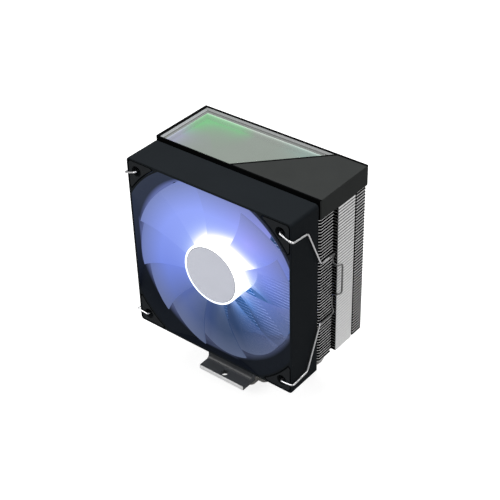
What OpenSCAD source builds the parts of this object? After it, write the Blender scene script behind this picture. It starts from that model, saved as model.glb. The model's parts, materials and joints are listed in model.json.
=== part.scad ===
// Tower cooler for a computer processor: fin stack on four heat pipes, a lit mirror cover on top,
// a 120 mm fan held in front by two wire clips, and a bar over the base that fastens it down.
// The origin is the centre of the contact face, +Z is up, and the fan faces -Y.

/* [Base and bar] */
// Side of the square block that clamps the heat pipes
block_w = 40; // [36:1:50]
// Height of the block above the contact plate
block_h = 8.5; // [7:0.5:12]
// Thickness of the contact plate
plate_t = 5; // [4.5:0.25:8]
// Width of the contact plate, across the bar
plate_w = 42; // [40:1:52]
// Length of the wide middle of the contact plate, along the bar
plate_l = 51; // [46:1:56]
// Width of the contact plate's tongues under the bar
tongue_w = 31; // [26:1:34]
// Length of the contact plate from tongue to tongue
tongue_l = 65; // [60:1:66]
// Rounding of the contact plate's corners in plan
plate_round = 3.6; // [1:0.2:5]
// Width of the mounting bar
bar_w = 35.2; // [30:0.2:42]
// Thickness of the mounting bar
bar_t = 3; // [2:0.25:4]
// Length of the mounting bar from end to end
bar_l = 87.6; // [86:0.2:100]
// Distance between the outer faces of the bar's two steps
bar_step = 69; // [67:0.5:72]
// Height of the bar's end flanges above the contact face
flange_z = 5.8; // [5:0.1:8]
// Distance between the two fixing holes in the bar
bar_hole_pitch = 80; // [76:0.5:82]
// Diameter of the fixing holes in the bar
bar_hole_d = 4.8; // [3.2:0.1:5.4]
// Radius of the hollow between flange and step
bar_cove = 2.6; // [1:0.1:3]
// Distance between the screws that hold the bar, across it
screw_span_x = 20; // [14:1:24]
// Distance between the screws that hold the bar, along it
screw_span_y = 26; // [20:1:32]

/* [Heat pipes] */
// Diameter of a heat pipe
pipe_d = 6; // [5:0.5:7]
// Gap between neighbouring pipes in the base
pipe_gap = 2; // [1:0.25:3]
// Bend radius of a pipe, to its middle
pipe_bend = 12; // [10:0.5:14]
// Distance from the middle to the upright of an outer pipe
outer_reach = 33; // [32.5:0.5:35]
// Distance from the middle to the upright of an inner pipe
inner_reach = 42; // [40:0.5:45]

/* [Fins] */
// Number of fins
fin_count = 51; // [40:1:56]
// Distance from one fin to the next
fin_pitch = 2.08; // [1.8:0.02:2.3]
// Thickness of the fin sheet
fin_t = 0.4; // [0.3:0.05:0.6]
// Height of the lowest fin above the contact face
fin_z = 34.5; // [32:0.5:40]
// Depth of the fins from front to rear
fin_d = 46.6; // [42:0.2:52]
// Width of the fins beside the front of the folded band
fin_w = 117; // [110:0.5:118]
// Width over the folded bands on both sides
band_w = 120.8; // [119:0.2:124]
// Width of the fins behind the folded band
fin_rear_w = 120.4; // [116:0.2:122]
// Length of the folded band from front to rear
band_l = 16.5; // [12:0.5:18]
// How far the band sits behind the middle of the fins
band_shift = 2.15; // [0:0.05:3]
// Cut at the front corners of the fins
front_cut = 3.2; // [1:0.2:5]
// Cut at the rear corners of the fins
rear_cut = 2; // [1:0.2:6]
// Width of the groove in front of the band, for the clip wire
groove_w = 2.4; // [2.1:0.1:3]
// Depth of the groove in front of the band
groove_depth = 1.6; // [1.2:0.1:2.5]
// Width of the spare groove behind the band
spare_groove_w = 1.7; // [1:0.1:2.5]

/* [Top cover] */
// Height of the cover
cover_h = 13; // [12.5:0.5:18]
// Width of the cover
cover_w = 120.8; // [119:0.2:124]
// Thickness of the cover's walls
cover_wall = 2; // [1.5:0.1:2.5]
// Thickness of the cover's top
cover_top_t = 3; // [2.6:0.1:4]
// Cut along the cover's lower rear edge
cover_rear_cut = 1.4; // [0.5:0.1:1.8]
// Thickness of the mirror pane
glass_t = 1.8; // [1:0.1:2]
// Black rim to the left of the pane
glass_rim_left = 2.9; // [2.5:0.1:6]
// Black rim behind the pane
glass_rim_rear = 2.2; // [1.5:0.1:5]
// Black rim in front of the pane
glass_rim_front = 0.9; // [0.7:0.1:4]
// Place of the pane's front right corner, from the middle
glass_front_x = -4.3; // [-20:0.1:10]
// Place of the pane's rear right corner, from the middle
glass_rear_x = 37.8; // [10:0.1:50]
// Width of the ledge that carries the pane
glass_ledge = 1.2; // [0.8:0.1:2]
// Thickness of the rear mirror
mirror_t = 1.2; // [0.8:0.1:1.5]
// Height of the lit box between the two mirrors
light_h = 4; // [3:0.1:4.5]
// Distance between neighbouring LEDs on the strip
led_pitch = 8; // [6:0.5:12]

/* [Fan] */
// Side of the square fan frame
fan_size = 120; // [112:1:126]
// Depth of the fan frame
fan_depth = 25; // [23:0.5:30]
// Gap between the fan frame and the fins, bridged by the rear pads
fan_gap = 1.3; // [0.6:0.1:3]
// How far the top of the fan lies below the top of the cover
fan_drop = 1.9; // [0:0.1:6]
// Distance from a corner hole to the two sides of the fan
hole_inset = 7.5; // [7:0.1:8]
// Diameter of the corner holes
corner_hole_d = 4.4; // [4:0.1:5]
// Thickness of the frame beside the duct, at the middle of a side
fan_lip = 1.7; // [1.2:0.1:3]
// How far the flared intake reaches beyond the duct in the corners
flare = 10.4; // [8:0.1:11.4]
// Depth of the flared intake
flare_depth = 7; // [3:0.5:10]
// Rounding of the frame's corners
fan_round = 2.4; // [1:0.2:4]
// Thickness of the rubber pads in the frame
pad_t = 2; // [1:0.25:3]
// Rim of the frame around a pad
pad_rim = 0.9; // [0.6:0.1:2]
// Open seam between a pad and the recess around it
pad_gap = 0.6; // [0.2:0.1:0.8]
// Width of a strut behind the blades
strut_w = 4; // [2:0.5:8]

/* [Impeller] */
// Diameter of the hub
hub_d = 40; // [36:1:46]
// How far the hub's face lies behind the front of the fan
hub_front = 1; // [0.5:0.25:3]
// Wall of the hub
hub_wall = 1.5; // [1:0.1:2]
// Width of the hub's rim around its cap
hub_rim = 1.3; // [0.8:0.1:3]
// Number of blades
blade_count = 11; // [5:1:11]
// Gap between the blade tips and the duct
tip_gap = 1.1; // [0.6:0.1:3]
// Thickness of a blade
blade_t = 1.3; // [1:0.1:2]
// Angle that a blade spans at the hub
blade_span_root = 58; // [30:1:64]
// Angle that a blade spans at its tip
blade_span_tip = 50; // [25:1:56]
// Depth of a blade at its tip, from leading to trailing edge
blade_tip_depth = 10.5; // [6:0.5:15]
// Angle by which the tips lean forward
blade_sweep = 8; // [0:1:30]
// Diameter of the shaft
shaft_d = 3; // [2:0.25:3.5]

/* [Wire clips] */
// Diameter of the clip wire
wire_d = 1.2; // [0.8:0.1:1.4]
// Depth of the hooks in the corner holes
hook_depth = 1.8; // [1:0.1:2]
// Height of the finger loop
loop_h = 21; // [16:0.5:26]
// How far the finger loop stands out from the band
loop_out = 2.1; // [1.5:0.1:5]
// Half the height between the places where the wire leaves the fan
entry_h = 21.7; // [20:0.1:28]
// How far behind the front of the fan the wire bends inwards
kink_depth = 13; // [8:0.5:18]
// How far the finger loop hangs below the middle of the hooks
clip_sag = 1.2; // [0:0.1:2]
// How far the wire along the fins hangs below the middle of the hooks
run_sag = 3.8; // [0:0.1:5]
// Bend length of the wire at its corners
wire_bend = 2; // [1:0.1:2.4]

/* [Hidden] */
$fn = 64;

// Overshoot of a cut past the faces that it opens
over = 1;
// Gap around pieces that are glued, soldered or pressed together
bond = 0.05;
// Gap around a shaft that turns
running = 0.05;
// Gap around pieces that are set in a recess
seat_gap = 0.2;
// Gap between the clip wire and what it passes
wire_gap = 0.3;

// Base and bar
block_top = plate_t + block_h;
bar_top = block_top + bar_t;
block_round = 1;

// Heat pipes, each with its reach to the side and its place from front to rear
pipe_r = pipe_d / 2;
pipe_pitch = pipe_d + pipe_gap;
pipe_z = plate_t;
pipe_tip = 0.3;
pipe_places = [
    [outer_reach, -1.5 * pipe_pitch],
    [inner_reach, -0.5 * pipe_pitch],
    [inner_reach, 0.5 * pipe_pitch],
    [outer_reach, 1.5 * pipe_pitch]
];

// Screws of the bar, which end above the pipes
screw_r = 1.5;
screw_head_r = 2.8;
screw_head_h = 1.8;
screw_cover = 1.2;
screw_end = pipe_z + pipe_r + screw_cover;
socket_r = 1.25;
socket_depth = 1.1;

// Fins
fin_front = -fin_d / 2;
fin_rear = fin_d / 2;
fin_top = fin_z + (fin_count - 1) * fin_pitch + fin_t;
band_front = band_shift - band_l / 2;
band_rear = band_shift + band_l / 2;
groove_y = band_front - groove_w / 2;
groove_x = fin_w / 2 - groove_depth;
tab_gap = 0.08;

// Top cover
cover_z = fin_top;
cover_top = cover_z + cover_h;
inner_x = cover_w / 2 - cover_wall;
inner_y = fin_d / 2 - cover_wall;
cover_round = 1;
foot_l = 9;
foot_t = 1.6;
foot_inset = 3;
peg_r = 1.4;
peg_x = inner_x - foot_l / 2;
peg_y = inner_y - foot_l / 2 - foot_inset;
peg_end = 0.7;

// Lit mirror box
glass_left = -cover_w / 2 + glass_rim_left;
glass_front = fin_front + glass_rim_front;
glass_rear = fin_rear - glass_rim_rear;
glass_slope = (glass_rear_x - glass_front_x) / (glass_rear - glass_front);
light_top = cover_top - cover_top_t;
mirror_top = light_top - light_h;
mirror_lip = 2;
strip_t = 0.4;
led_t = 0.7;
led_w = 1.6;
guide_t = 0.8;
guide_at = strip_t + led_t + bond;
strip_end = glass_rear_x - mirror_lip;

// Fan, which hangs below the top of the cover, or higher where it would meet the bar
bar_clear = 3;
fan_z = max(cover_top - fan_drop - fan_size / 2, bar_top + bar_clear + fan_size / 2);
fan_front = fin_front - fan_gap - fan_depth;
hole_at = fan_size / 2 - hole_inset;
pad_hole_rim = 1;
pad_hole_r = corner_hole_d / 2 + pad_hole_rim;

// Intake, which opens into the corners as far as the pads around the corner holes allow
pad_land = 0.6;
pad_web = 1;
duct_r = fan_size / 2 - fan_lip;
flare_r = min(duct_r + flare, sqrt(2) * hole_at - pad_hole_r - pad_web - pad_land);
flare_wall = 1.5;
pad_arc = flare_r + pad_land;
pad_tip = 3.1;
pad_end = sqrt(pow(pad_arc, 2) - pow(fan_size / 2 - pad_rim, 2)) + pad_tip;
pad_round = 2.2;

// Motor, as depths behind the front of the fan
hub_r = hub_d / 2;
cap_t = 0.8;
cap_r = hub_r - hub_rim;
hub_plate = hub_front + cap_t + hub_wall;
seat_t = 2.5;
seat_z = fan_depth - seat_t;
seat_lip = 0.5;
seat_r = hub_r + seat_lip;
board_t = 1.2;
board_z = seat_z - board_t;
led_h = 0.8;
hub_led_l = 2.4;
hub_led_count = 8;
hub_gap = 0.5;
hub_rear = board_z - led_h - hub_gap;
cup_r = hub_r - hub_wall - bond;
cup_t = 1;
boss_r = 3.6;
boss_h = 2;
boss_gap = 0.7;
magnet_r = cup_r - cup_t - bond;
magnet_t = 1.9;
magnet_inset = 1;

// Shaft and its bearing
shaft_r = shaft_d / 2;
sleeve_wall = 1.4;
sleeve_r = shaft_r + sleeve_wall;
tube_wall = 1.1;
tube_r = sleeve_r + tube_wall;
tube_z = hub_plate + cup_t + boss_h + boss_gap;
tube_floor = 1;
bore_end = fan_depth - tube_floor;
thrust_t = 0.5;
shaft_play = 0.2;
shaft_end = bore_end - thrust_t - shaft_play;
ring_t = 0.5;
ring_inset = 0.6;
ring_gap = 0.4;
ring_z = board_z + ring_inset;
ring_r = sleeve_r - ring_gap;
sleeve_end = ring_z - ring_gap;
neck_depth = 0.4;
neck_r = shaft_r - neck_depth;

// Stator
core_h = 7;
core_z = (tube_z + board_z) / 2 - core_h / 2;
core_ring = 3;
air_gap = 0.4;
shoe_r = magnet_r - magnet_t - air_gap;
shoe_t = 2;
shoe_span = 66;
arm_w = 3.2;
coil_t = 1.6;
coil_gap = 0.5;
pole_count = 4;

// Blades
blade_sink = 0.6;
blade_root_r = hub_r - blade_sink;
blade_tip_r = duct_r - tip_gap;
blade_inset = 1.4;
blade_front = hub_front + blade_inset;
blade_root_depth = hub_rear - blade_front - blade_t;
blade_hollow = 0.16;
blade_rows = 7;
blade_steps = 8;

// Wire clips
wire_r = wire_d / 2;
wire_sides = 10;
bend_steps = 4;
bend_share = 0.48;
side_spread = 0.5;
front_lift = 0.2;
clip_side = fan_size / 2 + wire_gap + wire_r + side_spread;
clip_front = fan_front - wire_gap - wire_r - front_lift;
clip_fin_side = fin_w / 2 + wire_gap + wire_r;
clip_seat = groove_x + wire_gap + wire_r;
corner_drop = 2;
corner_h = hole_at - corner_drop;
kink_drop = 3.2;
kink_h = hole_at - kink_drop;
seat_drop = 4;
loop_rise = 1;
loop_slack = 0.9;
loop_lean = 3.4;
loop_x = band_w / 2 + loop_out;

// Shared shapes

// Rectangle with round corners, about the middle
module rounded_rect(w, h, r) {
    square([w - 2 * r, h], center = true);
    square([w, h - 2 * r], center = true);
    for (x = [-1, 1], y = [-1, 1]) {
        translate([x * (w / 2 - r), y * (h / 2 - r)])
            circle(r);
    }
}

// Flat ring from one depth to another
module ring(r_out, r_in, z0, z1) {
    translate([0, 0, z0])
        linear_extrude(z1 - z0)
            difference() {
                circle(r_out);
                circle(r_in);
            }
}

// Round bar from one depth to another
module rod(r, z0, z1) {
    translate([0, 0, z0])
        cylinder(r = r, h = z1 - z0);
}

// Fan space: z runs backwards from the front of the fan, y points down
module fan_space() {
    translate([0, fan_front, fan_z])
        rotate([-90, 0, 0])
            children();
}

// Base and bar

// Groove cutters for the pipes' runs in the base
module pipe_grooves() {
    for (place = pipe_places) {
        translate([0, place[1], pipe_z])
            rotate([0, 90, 0])
                cylinder(r = pipe_r + bond, h = plate_w + 2 * over, center = true);
    }
}

module screw_places() {
    for (x = [-1, 1], y = [-1, 1]) {
        translate([x * screw_span_x / 2, y * screw_span_y / 2, 0])
            children();
    }
}

module base_plate() {
    color([0.72, 0.72, 0.71])
        difference() {
            linear_extrude(plate_t) {
                rounded_rect(plate_w, plate_l, plate_round);
                rounded_rect(tongue_w, tongue_l, plate_round);
            }
            pipe_grooves();
        }
}

module base_block() {
    color([0.62, 0.63, 0.64])
        difference() {
            translate([0, 0, plate_t])
                linear_extrude(block_h)
                    rounded_rect(block_w, block_w, block_round);
            pipe_grooves();
            screw_places()
                rod(screw_r + bond, screw_end - bond, block_top + over);
        }
}

// Half of the bar's side outline, from the middle to one end
module bar_outline() {
    step = bar_step / 2;
    difference() {
        union() {
            translate([0, block_top])
                square([step, bar_t]);
            translate([step - bar_t, flange_z])
                square([bar_t, bar_top - flange_z]);
            translate([step - bar_t, flange_z])
                square([bar_l / 2 - step + bar_t, bar_t]);
            translate([step, flange_z + bar_t])
                square(bar_cove);
        }
        translate([step + bar_cove, flange_z + bar_t + bar_cove])
            circle(bar_cove);
        translate([step - bar_t / 2, bar_top - bar_t / 2])
            difference() {
                square(bar_t);
                circle(bar_t / 2);
            }
    }
}

module mounting_bar() {
    color([0.23, 0.24, 0.24])
        difference() {
            rotate([90, 0, 90])
                translate([0, 0, -bar_w / 2])
                    linear_extrude(bar_w) {
                        bar_outline();
                        mirror([1, 0])
                            bar_outline();
                    }
            for (y = [-1, 1]) {
                translate([0, y * bar_hole_pitch / 2, 0])
                    rod(bar_hole_d / 2, flange_z - over, flange_z + bar_t + over);
            }
            screw_places()
                rod(screw_r + seat_gap, block_top - over, bar_top + over);
        }
}

module bar_screws() {
    color([0.7, 0.7, 0.7])
        screw_places()
            difference() {
                union() {
                    rod(screw_r, screw_end, bar_top + screw_head_h / 2);
                    rod(screw_head_r, bar_top, bar_top + screw_head_h);
                }
                translate([0, 0, bar_top + screw_head_h - socket_depth])
                    cylinder(r = socket_r, h = socket_depth + over, $fn = 6);
            }
}

// Heat pipes

// Half of a pipe: from the middle of the base, round the bend and up through the fins
module half_pipe(reach) {
    pipe_top = fin_top + pipe_tip;
    translate([0, 0, pipe_z])
        rotate([0, 90, 0])
            rod(pipe_r, 0, reach - pipe_bend);
    translate([reach - pipe_bend, 0, pipe_z + pipe_bend])
        rotate([90, 0, 0])
            rotate_extrude(angle = 90, start = -90)
                translate([pipe_bend, 0])
                    circle(pipe_r);
    translate([reach, 0, 0])
        rod(pipe_r, pipe_z + pipe_bend, pipe_top);
    translate([reach, 0, pipe_top])
        sphere(pipe_r);
}

module heat_pipe(place) {
    color([0.66, 0.66, 0.65])
        translate([0, place[1], 0]) {
            half_pipe(place[0]);
            mirror([1, 0, 0])
                half_pipe(place[0]);
        }
}

module heat_pipe_1() heat_pipe(pipe_places[0]);
module heat_pipe_2() heat_pipe(pipe_places[1]);
module heat_pipe_3() heat_pipe(pipe_places[2]);
module heat_pipe_4() heat_pipe(pipe_places[3]);

// Fins

// Outline of a fin, right half from front to rear and then the left half back again
function fin_side() = [
    [fin_w / 2 - front_cut, fin_front],
    [fin_w / 2, fin_front + front_cut],
    [fin_w / 2, band_front - groove_w],
    [groove_x, band_front - groove_w],
    [groove_x, band_front],
    [band_w / 2, band_front],
    [band_w / 2, band_rear],
    [fin_rear_w / 2 - groove_depth, band_rear],
    [fin_rear_w / 2 - groove_depth, band_rear + spare_groove_w],
    [fin_rear_w / 2, band_rear + spare_groove_w],
    [fin_rear_w / 2, fin_rear - rear_cut],
    [fin_rear_w / 2 - rear_cut, fin_rear]
];

function fin_outline() = let (side = fin_side(), last = len(side) - 1)
    concat(side, [for (i = [last:-1:0]) [-side[i][0], side[i][1]]]);

module peg_places() {
    for (x = [-1, 1], y = [-1, 1]) {
        translate([x * peg_x, y * peg_y])
            children();
    }
}

module fin(pegged) {
    linear_extrude(fin_t)
        difference() {
            polygon(fin_outline());
            for (place = pipe_places, side = [-1, 1]) {
                translate([side * place[0], place[1]])
                    circle(pipe_r + bond);
            }
            if (pegged) {
                peg_places()
                    circle(peg_r + bond);
            }
        }
}

// Folded edge that reaches from one fin to the next
module fin_tab(side) {
    translate([side * (band_w / 2 - fin_t / 2), band_shift, fin_pitch / 2])
        cube([fin_t, band_l, fin_pitch - 2 * tab_gap], center = true);
}

module fin_stack() {
    color([0.78, 0.78, 0.78])
        for (i = [0:fin_count - 1]) {
            translate([0, 0, fin_z + i * fin_pitch])
                if (i < fin_count - 1) {
                    fin(false);
                    fin_tab(1);
                    fin_tab(-1);
                } else {
                    fin(true);
                }
        }
}

// Top cover

// Outline of the pane's slanted shape, between a left, a front and a rear line
function pane(left, front, rear, shift) = [
    [left, front],
    [glass_front_x + glass_slope * (front - glass_front) + shift, front],
    [glass_front_x + glass_slope * (rear - glass_front) + shift, rear],
    [left, rear]
];

// The pane's outline moved outwards by a distance on every side
function pane_grown(d) =
    pane(glass_left - d, glass_front - d, glass_rear + d, d * sqrt(1 + pow(glass_slope, 2)));

module cover_foot(x, y) {
    translate([x * (inner_x - foot_l / 2 + cover_wall / 4), y * peg_y, cover_z + foot_t / 2])
        cube([foot_l + cover_wall / 2, foot_l, foot_t], center = true);
    translate([x * peg_x, y * peg_y, 0])
        rod(peg_r, cover_z - fin_t - peg_end, cover_z + foot_t / 2);
}

module top_cover() {
    color([0.14, 0.14, 0.15]) {
        difference() {
            translate([0, 0, cover_z])
                linear_extrude(cover_h)
                    rounded_rect(cover_w, fin_d, cover_round);
            translate([-inner_x, -inner_y, cover_z - over])
                cube([2 * inner_x, 2 * inner_y, light_top - cover_z + over]);
            translate([0, 0, cover_top - glass_t])
                linear_extrude(glass_t + over)
                    polygon(pane_grown(seat_gap));
            translate([0, 0, light_top - over])
                linear_extrude(cover_top_t + 2 * over)
                    polygon(pane_grown(-glass_ledge));
            translate([0, fin_rear, cover_z])
                rotate([45, 0, 0])
                    cube([cover_w + 2 * over, cover_rear_cut, cover_rear_cut], center = true);
        }
        for (x = [-1, 1], y = [-1, 1]) {
            cover_foot(x, y);
        }
    }
}

module mirror_glass() {
    color([0.6, 0.62, 0.6, 0.6])
        translate([0, 0, cover_top - glass_t])
            linear_extrude(glass_t)
                polygon(pane_grown(0));
}

module mirror_back() {
    color([0.8, 0.82, 0.82])
        translate([0, 0, mirror_top - mirror_t])
            linear_extrude(mirror_t)
                polygon(pane(-inner_x + bond, -inner_y + bond, inner_y - bond, mirror_lip));
}

// Strip along the left and the rear wall inside the cover, at a distance from them
module wall_strip(distance, t) {
    left = -inner_x + distance;
    rear = inner_y - distance;
    front = -inner_y + mirror_lip;
    translate([left, front, mirror_top])
        cube([t, rear - front, light_h]);
    translate([left, rear - t, mirror_top])
        cube([strip_end - left, t, light_h]);
}

module light_guide() {
    color([0.9, 0.95, 0.92])
        wall_strip(guide_at, guide_t);
}

module led_strip() {
    led_z = mirror_top + light_h / 2;
    left_x = -inner_x + bond + strip_t + led_t / 2;
    rear_y = inner_y - bond - strip_t - led_t / 2;
    color([0.85, 0.85, 0.8]) {
        wall_strip(bond, strip_t);
        for (y = [-inner_y + led_pitch:led_pitch:inner_y - led_pitch / 2]) {
            translate([left_x - bond, y, led_z])
                cube([led_t, led_w, led_w], center = true);
        }
        for (x = [-inner_x + led_pitch:led_pitch:strip_end - led_w]) {
            translate([x, rear_y + bond, led_z])
                cube([led_w, led_t, led_w], center = true);
        }
    }
}

// Fan frame and pads

// Corner pad seen from the front, drawn in by a gap on every side
module pad_outline(gap) {
    low = pad_end + gap;
    high = fan_size / 2 - pad_rim - gap;
    middle = (low + high) / 2;
    for (turn = [0:90:270]) {
        rotate(turn)
            difference() {
                translate([middle, middle])
                    rounded_rect(high - low, high - low, pad_round);
                circle(pad_arc + gap);
            }
    }
}

module corner_holes() {
    for (x = [-1, 1], y = [-1, 1]) {
        translate([x * hole_at, y * hole_at])
            children();
    }
}

// Flared intake: a cone that opens into the corners and leaves the side walls standing
module intake_cut() {
    slope = (flare_r - duct_r) / flare_depth;
    intersection() {
        translate([0, 0, -over])
            cylinder(h = flare_depth + over, r1 = flare_r + over * slope, r2 = duct_r);
        translate([0, 0, flare_depth / 2])
            cube([fan_size - 2 * flare_wall, fan_size - 2 * flare_wall, 2 * flare_depth], center = true);
    }
}

module fan_shell() {
    difference() {
        linear_extrude(fan_depth)
            rounded_rect(fan_size, fan_size, fan_round);
        rod(duct_r, -over, fan_depth + over);
        intake_cut();
        translate([0, 0, -over])
            linear_extrude(pad_t + over)
                pad_outline(0);
        translate([0, 0, fan_depth - pad_t])
            linear_extrude(pad_t + over)
                pad_outline(0);
        corner_holes()
            rod(corner_hole_d / 2, -over, fan_depth + over);
    }
}

module fan_frame() {
    strut_start = seat_r - seat_lip / 2;
    color([0.1, 0.11, 0.12])
        fan_space()
            difference() {
                union() {
                    fan_shell();
                    rod(seat_r, seat_z, fan_depth);
                    rod(tube_r, tube_z, fan_depth);
                    for (turn = [45:90:315]) {
                        rotate(turn)
                            translate([strut_start, -strut_w / 2, board_z])
                                cube([duct_r + over - strut_start, strut_w, fan_depth - board_z]);
                    }
                }
                rod(sleeve_r + bond, tube_z - over, bore_end);
            }
}

module pads(z0, z1) {
    translate([0, 0, z0])
        linear_extrude(z1 - z0)
            difference() {
                pad_outline(pad_gap);
                corner_holes()
                    circle(pad_hole_r);
            }
}

module front_pads() {
    color([0.13, 0.14, 0.15])
        fan_space()
            pads(0, pad_t);
}

module rear_pads() {
    color([0.13, 0.14, 0.15])
        fan_space()
            pads(fan_depth - pad_t, fan_depth + fan_gap);
}

// Motor pieces that stand still

module bearing_sleeve() {
    color([0.72, 0.55, 0.3])
        fan_space()
            ring(sleeve_r, shaft_r + running, tube_z + bond, sleeve_end);
}

module thrust_pad() {
    color([0.9, 0.9, 0.85])
        fan_space()
            rod(sleeve_r - bond, bore_end - thrust_t, bore_end);
}

module stator_core() {
    color([0.45, 0.45, 0.47])
        fan_space()
            translate([0, 0, core_z])
                linear_extrude(core_h)
                    difference() {
                        union() {
                            circle(tube_r + bond + core_ring);
                            for (turn = [0:360 / pole_count:359]) {
                                rotate(turn) {
                                    translate([0, -arm_w / 2])
                                        square([shoe_r - shoe_t / 2, arm_w]);
                                    pole_shoe();
                                }
                            }
                        }
                        circle(tube_r + bond);
                    }
}

// Curved face of one pole, towards the magnets
module pole_shoe() {
    reach = 2 * shoe_r;
    half = shoe_span / 2;
    intersection() {
        difference() {
            circle(shoe_r);
            circle(shoe_r - shoe_t);
        }
        polygon([[0, 0], reach * [cos(half), -sin(half)], [reach, 0], reach * [cos(half), sin(half)]]);
    }
}

module stator_coils() {
    start = tube_r + bond + core_ring + coil_gap;
    wound = shoe_r - shoe_t - coil_gap - start;
    color([0.72, 0.42, 0.2])
        fan_space()
            for (turn = [0:360 / pole_count:359]) {
                rotate(turn)
                    translate([start + wound / 2, 0, core_z + core_h / 2])
                        difference() {
                            cube([wound, arm_w + 2 * coil_t, core_h + 2 * coil_t], center = true);
                            cube([wound + over, arm_w + 2 * bond, core_h + 2 * bond], center = true);
                        }
            }
}

module fan_board() {
    color([0.1, 0.3, 0.2])
        fan_space()
            ring(hub_r - bond, tube_r + bond, board_z, seat_z);
}

module hub_leds() {
    color([0.95, 0.95, 0.9])
        fan_space()
            for (turn = [0:360 / hub_led_count:359]) {
                rotate(turn)
                    translate([hub_r - hub_wall, 0, board_z - led_h / 2])
                        cube([led_w, hub_led_l, led_h], center = true);
            }
}

// Impeller and what turns with it

// Place on a blade: u runs from root to tip, v from leading to trailing edge, side is the front or rear skin
function blade_place(u, v, side) = let (
    r = blade_root_r + u * (blade_tip_r - blade_root_r),
    span = blade_span_root + u * (blade_span_tip - blade_span_root),
    turn = span * (v - 0.5) - blade_sweep * u * u,
    deep = blade_root_depth + u * (blade_tip_depth - blade_root_depth),
    pitch = atan(deep / (r * span * PI / 180)),
    skin = side * blade_t / 4 * (1 + sin(180 * v)) / cos(pitch),
    z = blade_front + deep * (v - blade_hollow * (1 - pow(2 * v - 1, 2))) + skin
) [r * cos(turn), r * sin(turn), z];

function blade_points() = [
    for (side = [-1, 1], i = [0:blade_rows], j = [0:blade_steps])
        blade_place(i / blade_rows, j / blade_steps, side)
];

// Two triangles for each cell between four corners, turned so that they face outwards
function cell(a, b, c, d, flip) = flip ? [[a, b, c], [a, c, d]] : [[a, c, b], [a, d, c]];

function blade_faces() = let (
    row = blade_steps + 1,
    skin = row * (blade_rows + 1),
    last = blade_rows * row
) [
    for (side = [0, 1], i = [0:blade_rows - 1], j = [0:blade_steps - 1])
        let (at = side * skin + i * row + j)
        each cell(at, at + 1, at + row + 1, at + row, side == 1),
    for (j = [0:blade_steps - 1])
        each cell(j, j + 1, skin + j + 1, skin + j, true),
    for (j = [0:blade_steps - 1])
        each cell(last + j, last + j + 1, skin + last + j + 1, skin + last + j, false),
    for (i = [0:blade_rows - 1])
        each cell(i * row, (i + 1) * row, skin + (i + 1) * row, skin + i * row, false),
    for (i = [0:blade_rows - 1])
        let (at = i * row + blade_steps)
        each cell(at, at + row, skin + at + row, skin + at, true)
];

module blade() {
    polyhedron(blade_points(), blade_faces());
}

module hub() {
    rotate_extrude()
        polygon([
            [0, hub_front + cap_t],
            [cap_r + seat_gap, hub_front + cap_t],
            [cap_r + seat_gap, hub_front],
            [hub_r, hub_front],
            [hub_r, hub_rear],
            [hub_r - hub_wall, hub_rear],
            [hub_r - hub_wall, hub_plate],
            [0, hub_plate]
        ]);
}

module impeller() {
    color([0.75, 0.8, 0.95])
        fan_space() {
            hub();
            for (turn = [0:360 / blade_count:359]) {
                rotate(turn)
                    blade();
            }
        }
}

module hub_cap() {
    color([0.76, 0.77, 0.8])
        fan_space()
            rod(cap_r, hub_front, hub_front + cap_t);
}

module rotor_cup() {
    color([0.6, 0.6, 0.62])
        fan_space() {
            ring(cup_r, cup_r - cup_t, hub_plate, hub_rear);
            ring(cup_r - cup_t / 2, shaft_r + bond, hub_plate, hub_plate + cup_t);
            ring(boss_r, shaft_r + bond, hub_plate + cup_t / 2, hub_plate + cup_t + boss_h);
        }
}

module magnet_ring() {
    color([0.2, 0.2, 0.22])
        fan_space()
            ring(magnet_r, magnet_r - magnet_t, hub_plate + cup_t + magnet_inset, hub_rear - magnet_inset);
}

module shaft() {
    color([0.8, 0.8, 0.82])
        fan_space() {
            rod(shaft_r, hub_plate, ring_z - bond);
            rod(neck_r, hub_plate, shaft_end);
            rod(shaft_r, ring_z + ring_t + bond, shaft_end);
        }
}

module retaining_ring() {
    color([0.85, 0.85, 0.8])
        fan_space()
            ring(ring_r, neck_r + bond, ring_z, ring_z + ring_t);
}

// Wire clips

function unit(v) = v / norm(v);

// Hook of the right clip at the upper or lower corner hole, from its tip to the front of the frame
function clip_hook(side) = [
    [hole_at, fan_front + hook_depth, side * hole_at],
    [hole_at, clip_front, side * hole_at]
];

// Arm of the right clip, from the corner of the frame to the finger loop
function clip_arm(side) = [
    for (place = [
        [clip_side, clip_front, corner_h, clip_sag],
        [clip_side, fan_front + kink_depth, kink_h, clip_sag],
        [clip_side, fan_front + fan_depth + wire_gap, entry_h, clip_sag / 2],
        [clip_fin_side, fin_front + front_cut + wire_gap, entry_h, run_sag],
        [clip_fin_side, groove_y, entry_h, run_sag],
        [clip_seat, groove_y, entry_h - seat_drop, run_sag],
        [clip_seat, groove_y, loop_h / 2 + loop_rise, clip_sag],
        [band_w / 2 + loop_slack, groove_y, loop_h / 2, clip_sag],
        [loop_x, groove_y + loop_lean, loop_h / 2, clip_sag]
    ])
        [place[0], place[1], side * place[2] - place[3]]
];

function reversed(list) = [for (i = [len(list) - 1:-1:0]) list[i]];

function clip_route() = concat(
    clip_hook(1), clip_arm(1),
    reversed(clip_arm(-1)), reversed(clip_hook(-1))
);

// Route with each corner drawn out into a smooth bend
function bent(route) = [
    route[0],
    for (i = [1:len(route) - 2])
        let (
            to = route[i - 1] - route[i],
            on = route[i + 1] - route[i],
            ease = min(wire_bend, bend_share * norm(to), bend_share * norm(on)),
            a = route[i] + unit(to) * ease,
            b = route[i] + unit(on) * ease
        )
        for (k = [0:bend_steps])
            let (s = k / bend_steps)
            (1 - s) * (1 - s) * a + 2 * s * (1 - s) * route[i] + s * s * b,
    route[len(route) - 1]
];

// Direction of the route at a point
function heading(path, i) =
    unit(path[min(i + 1, len(path) - 1)] - path[max(i - 1, 0)]);

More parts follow.
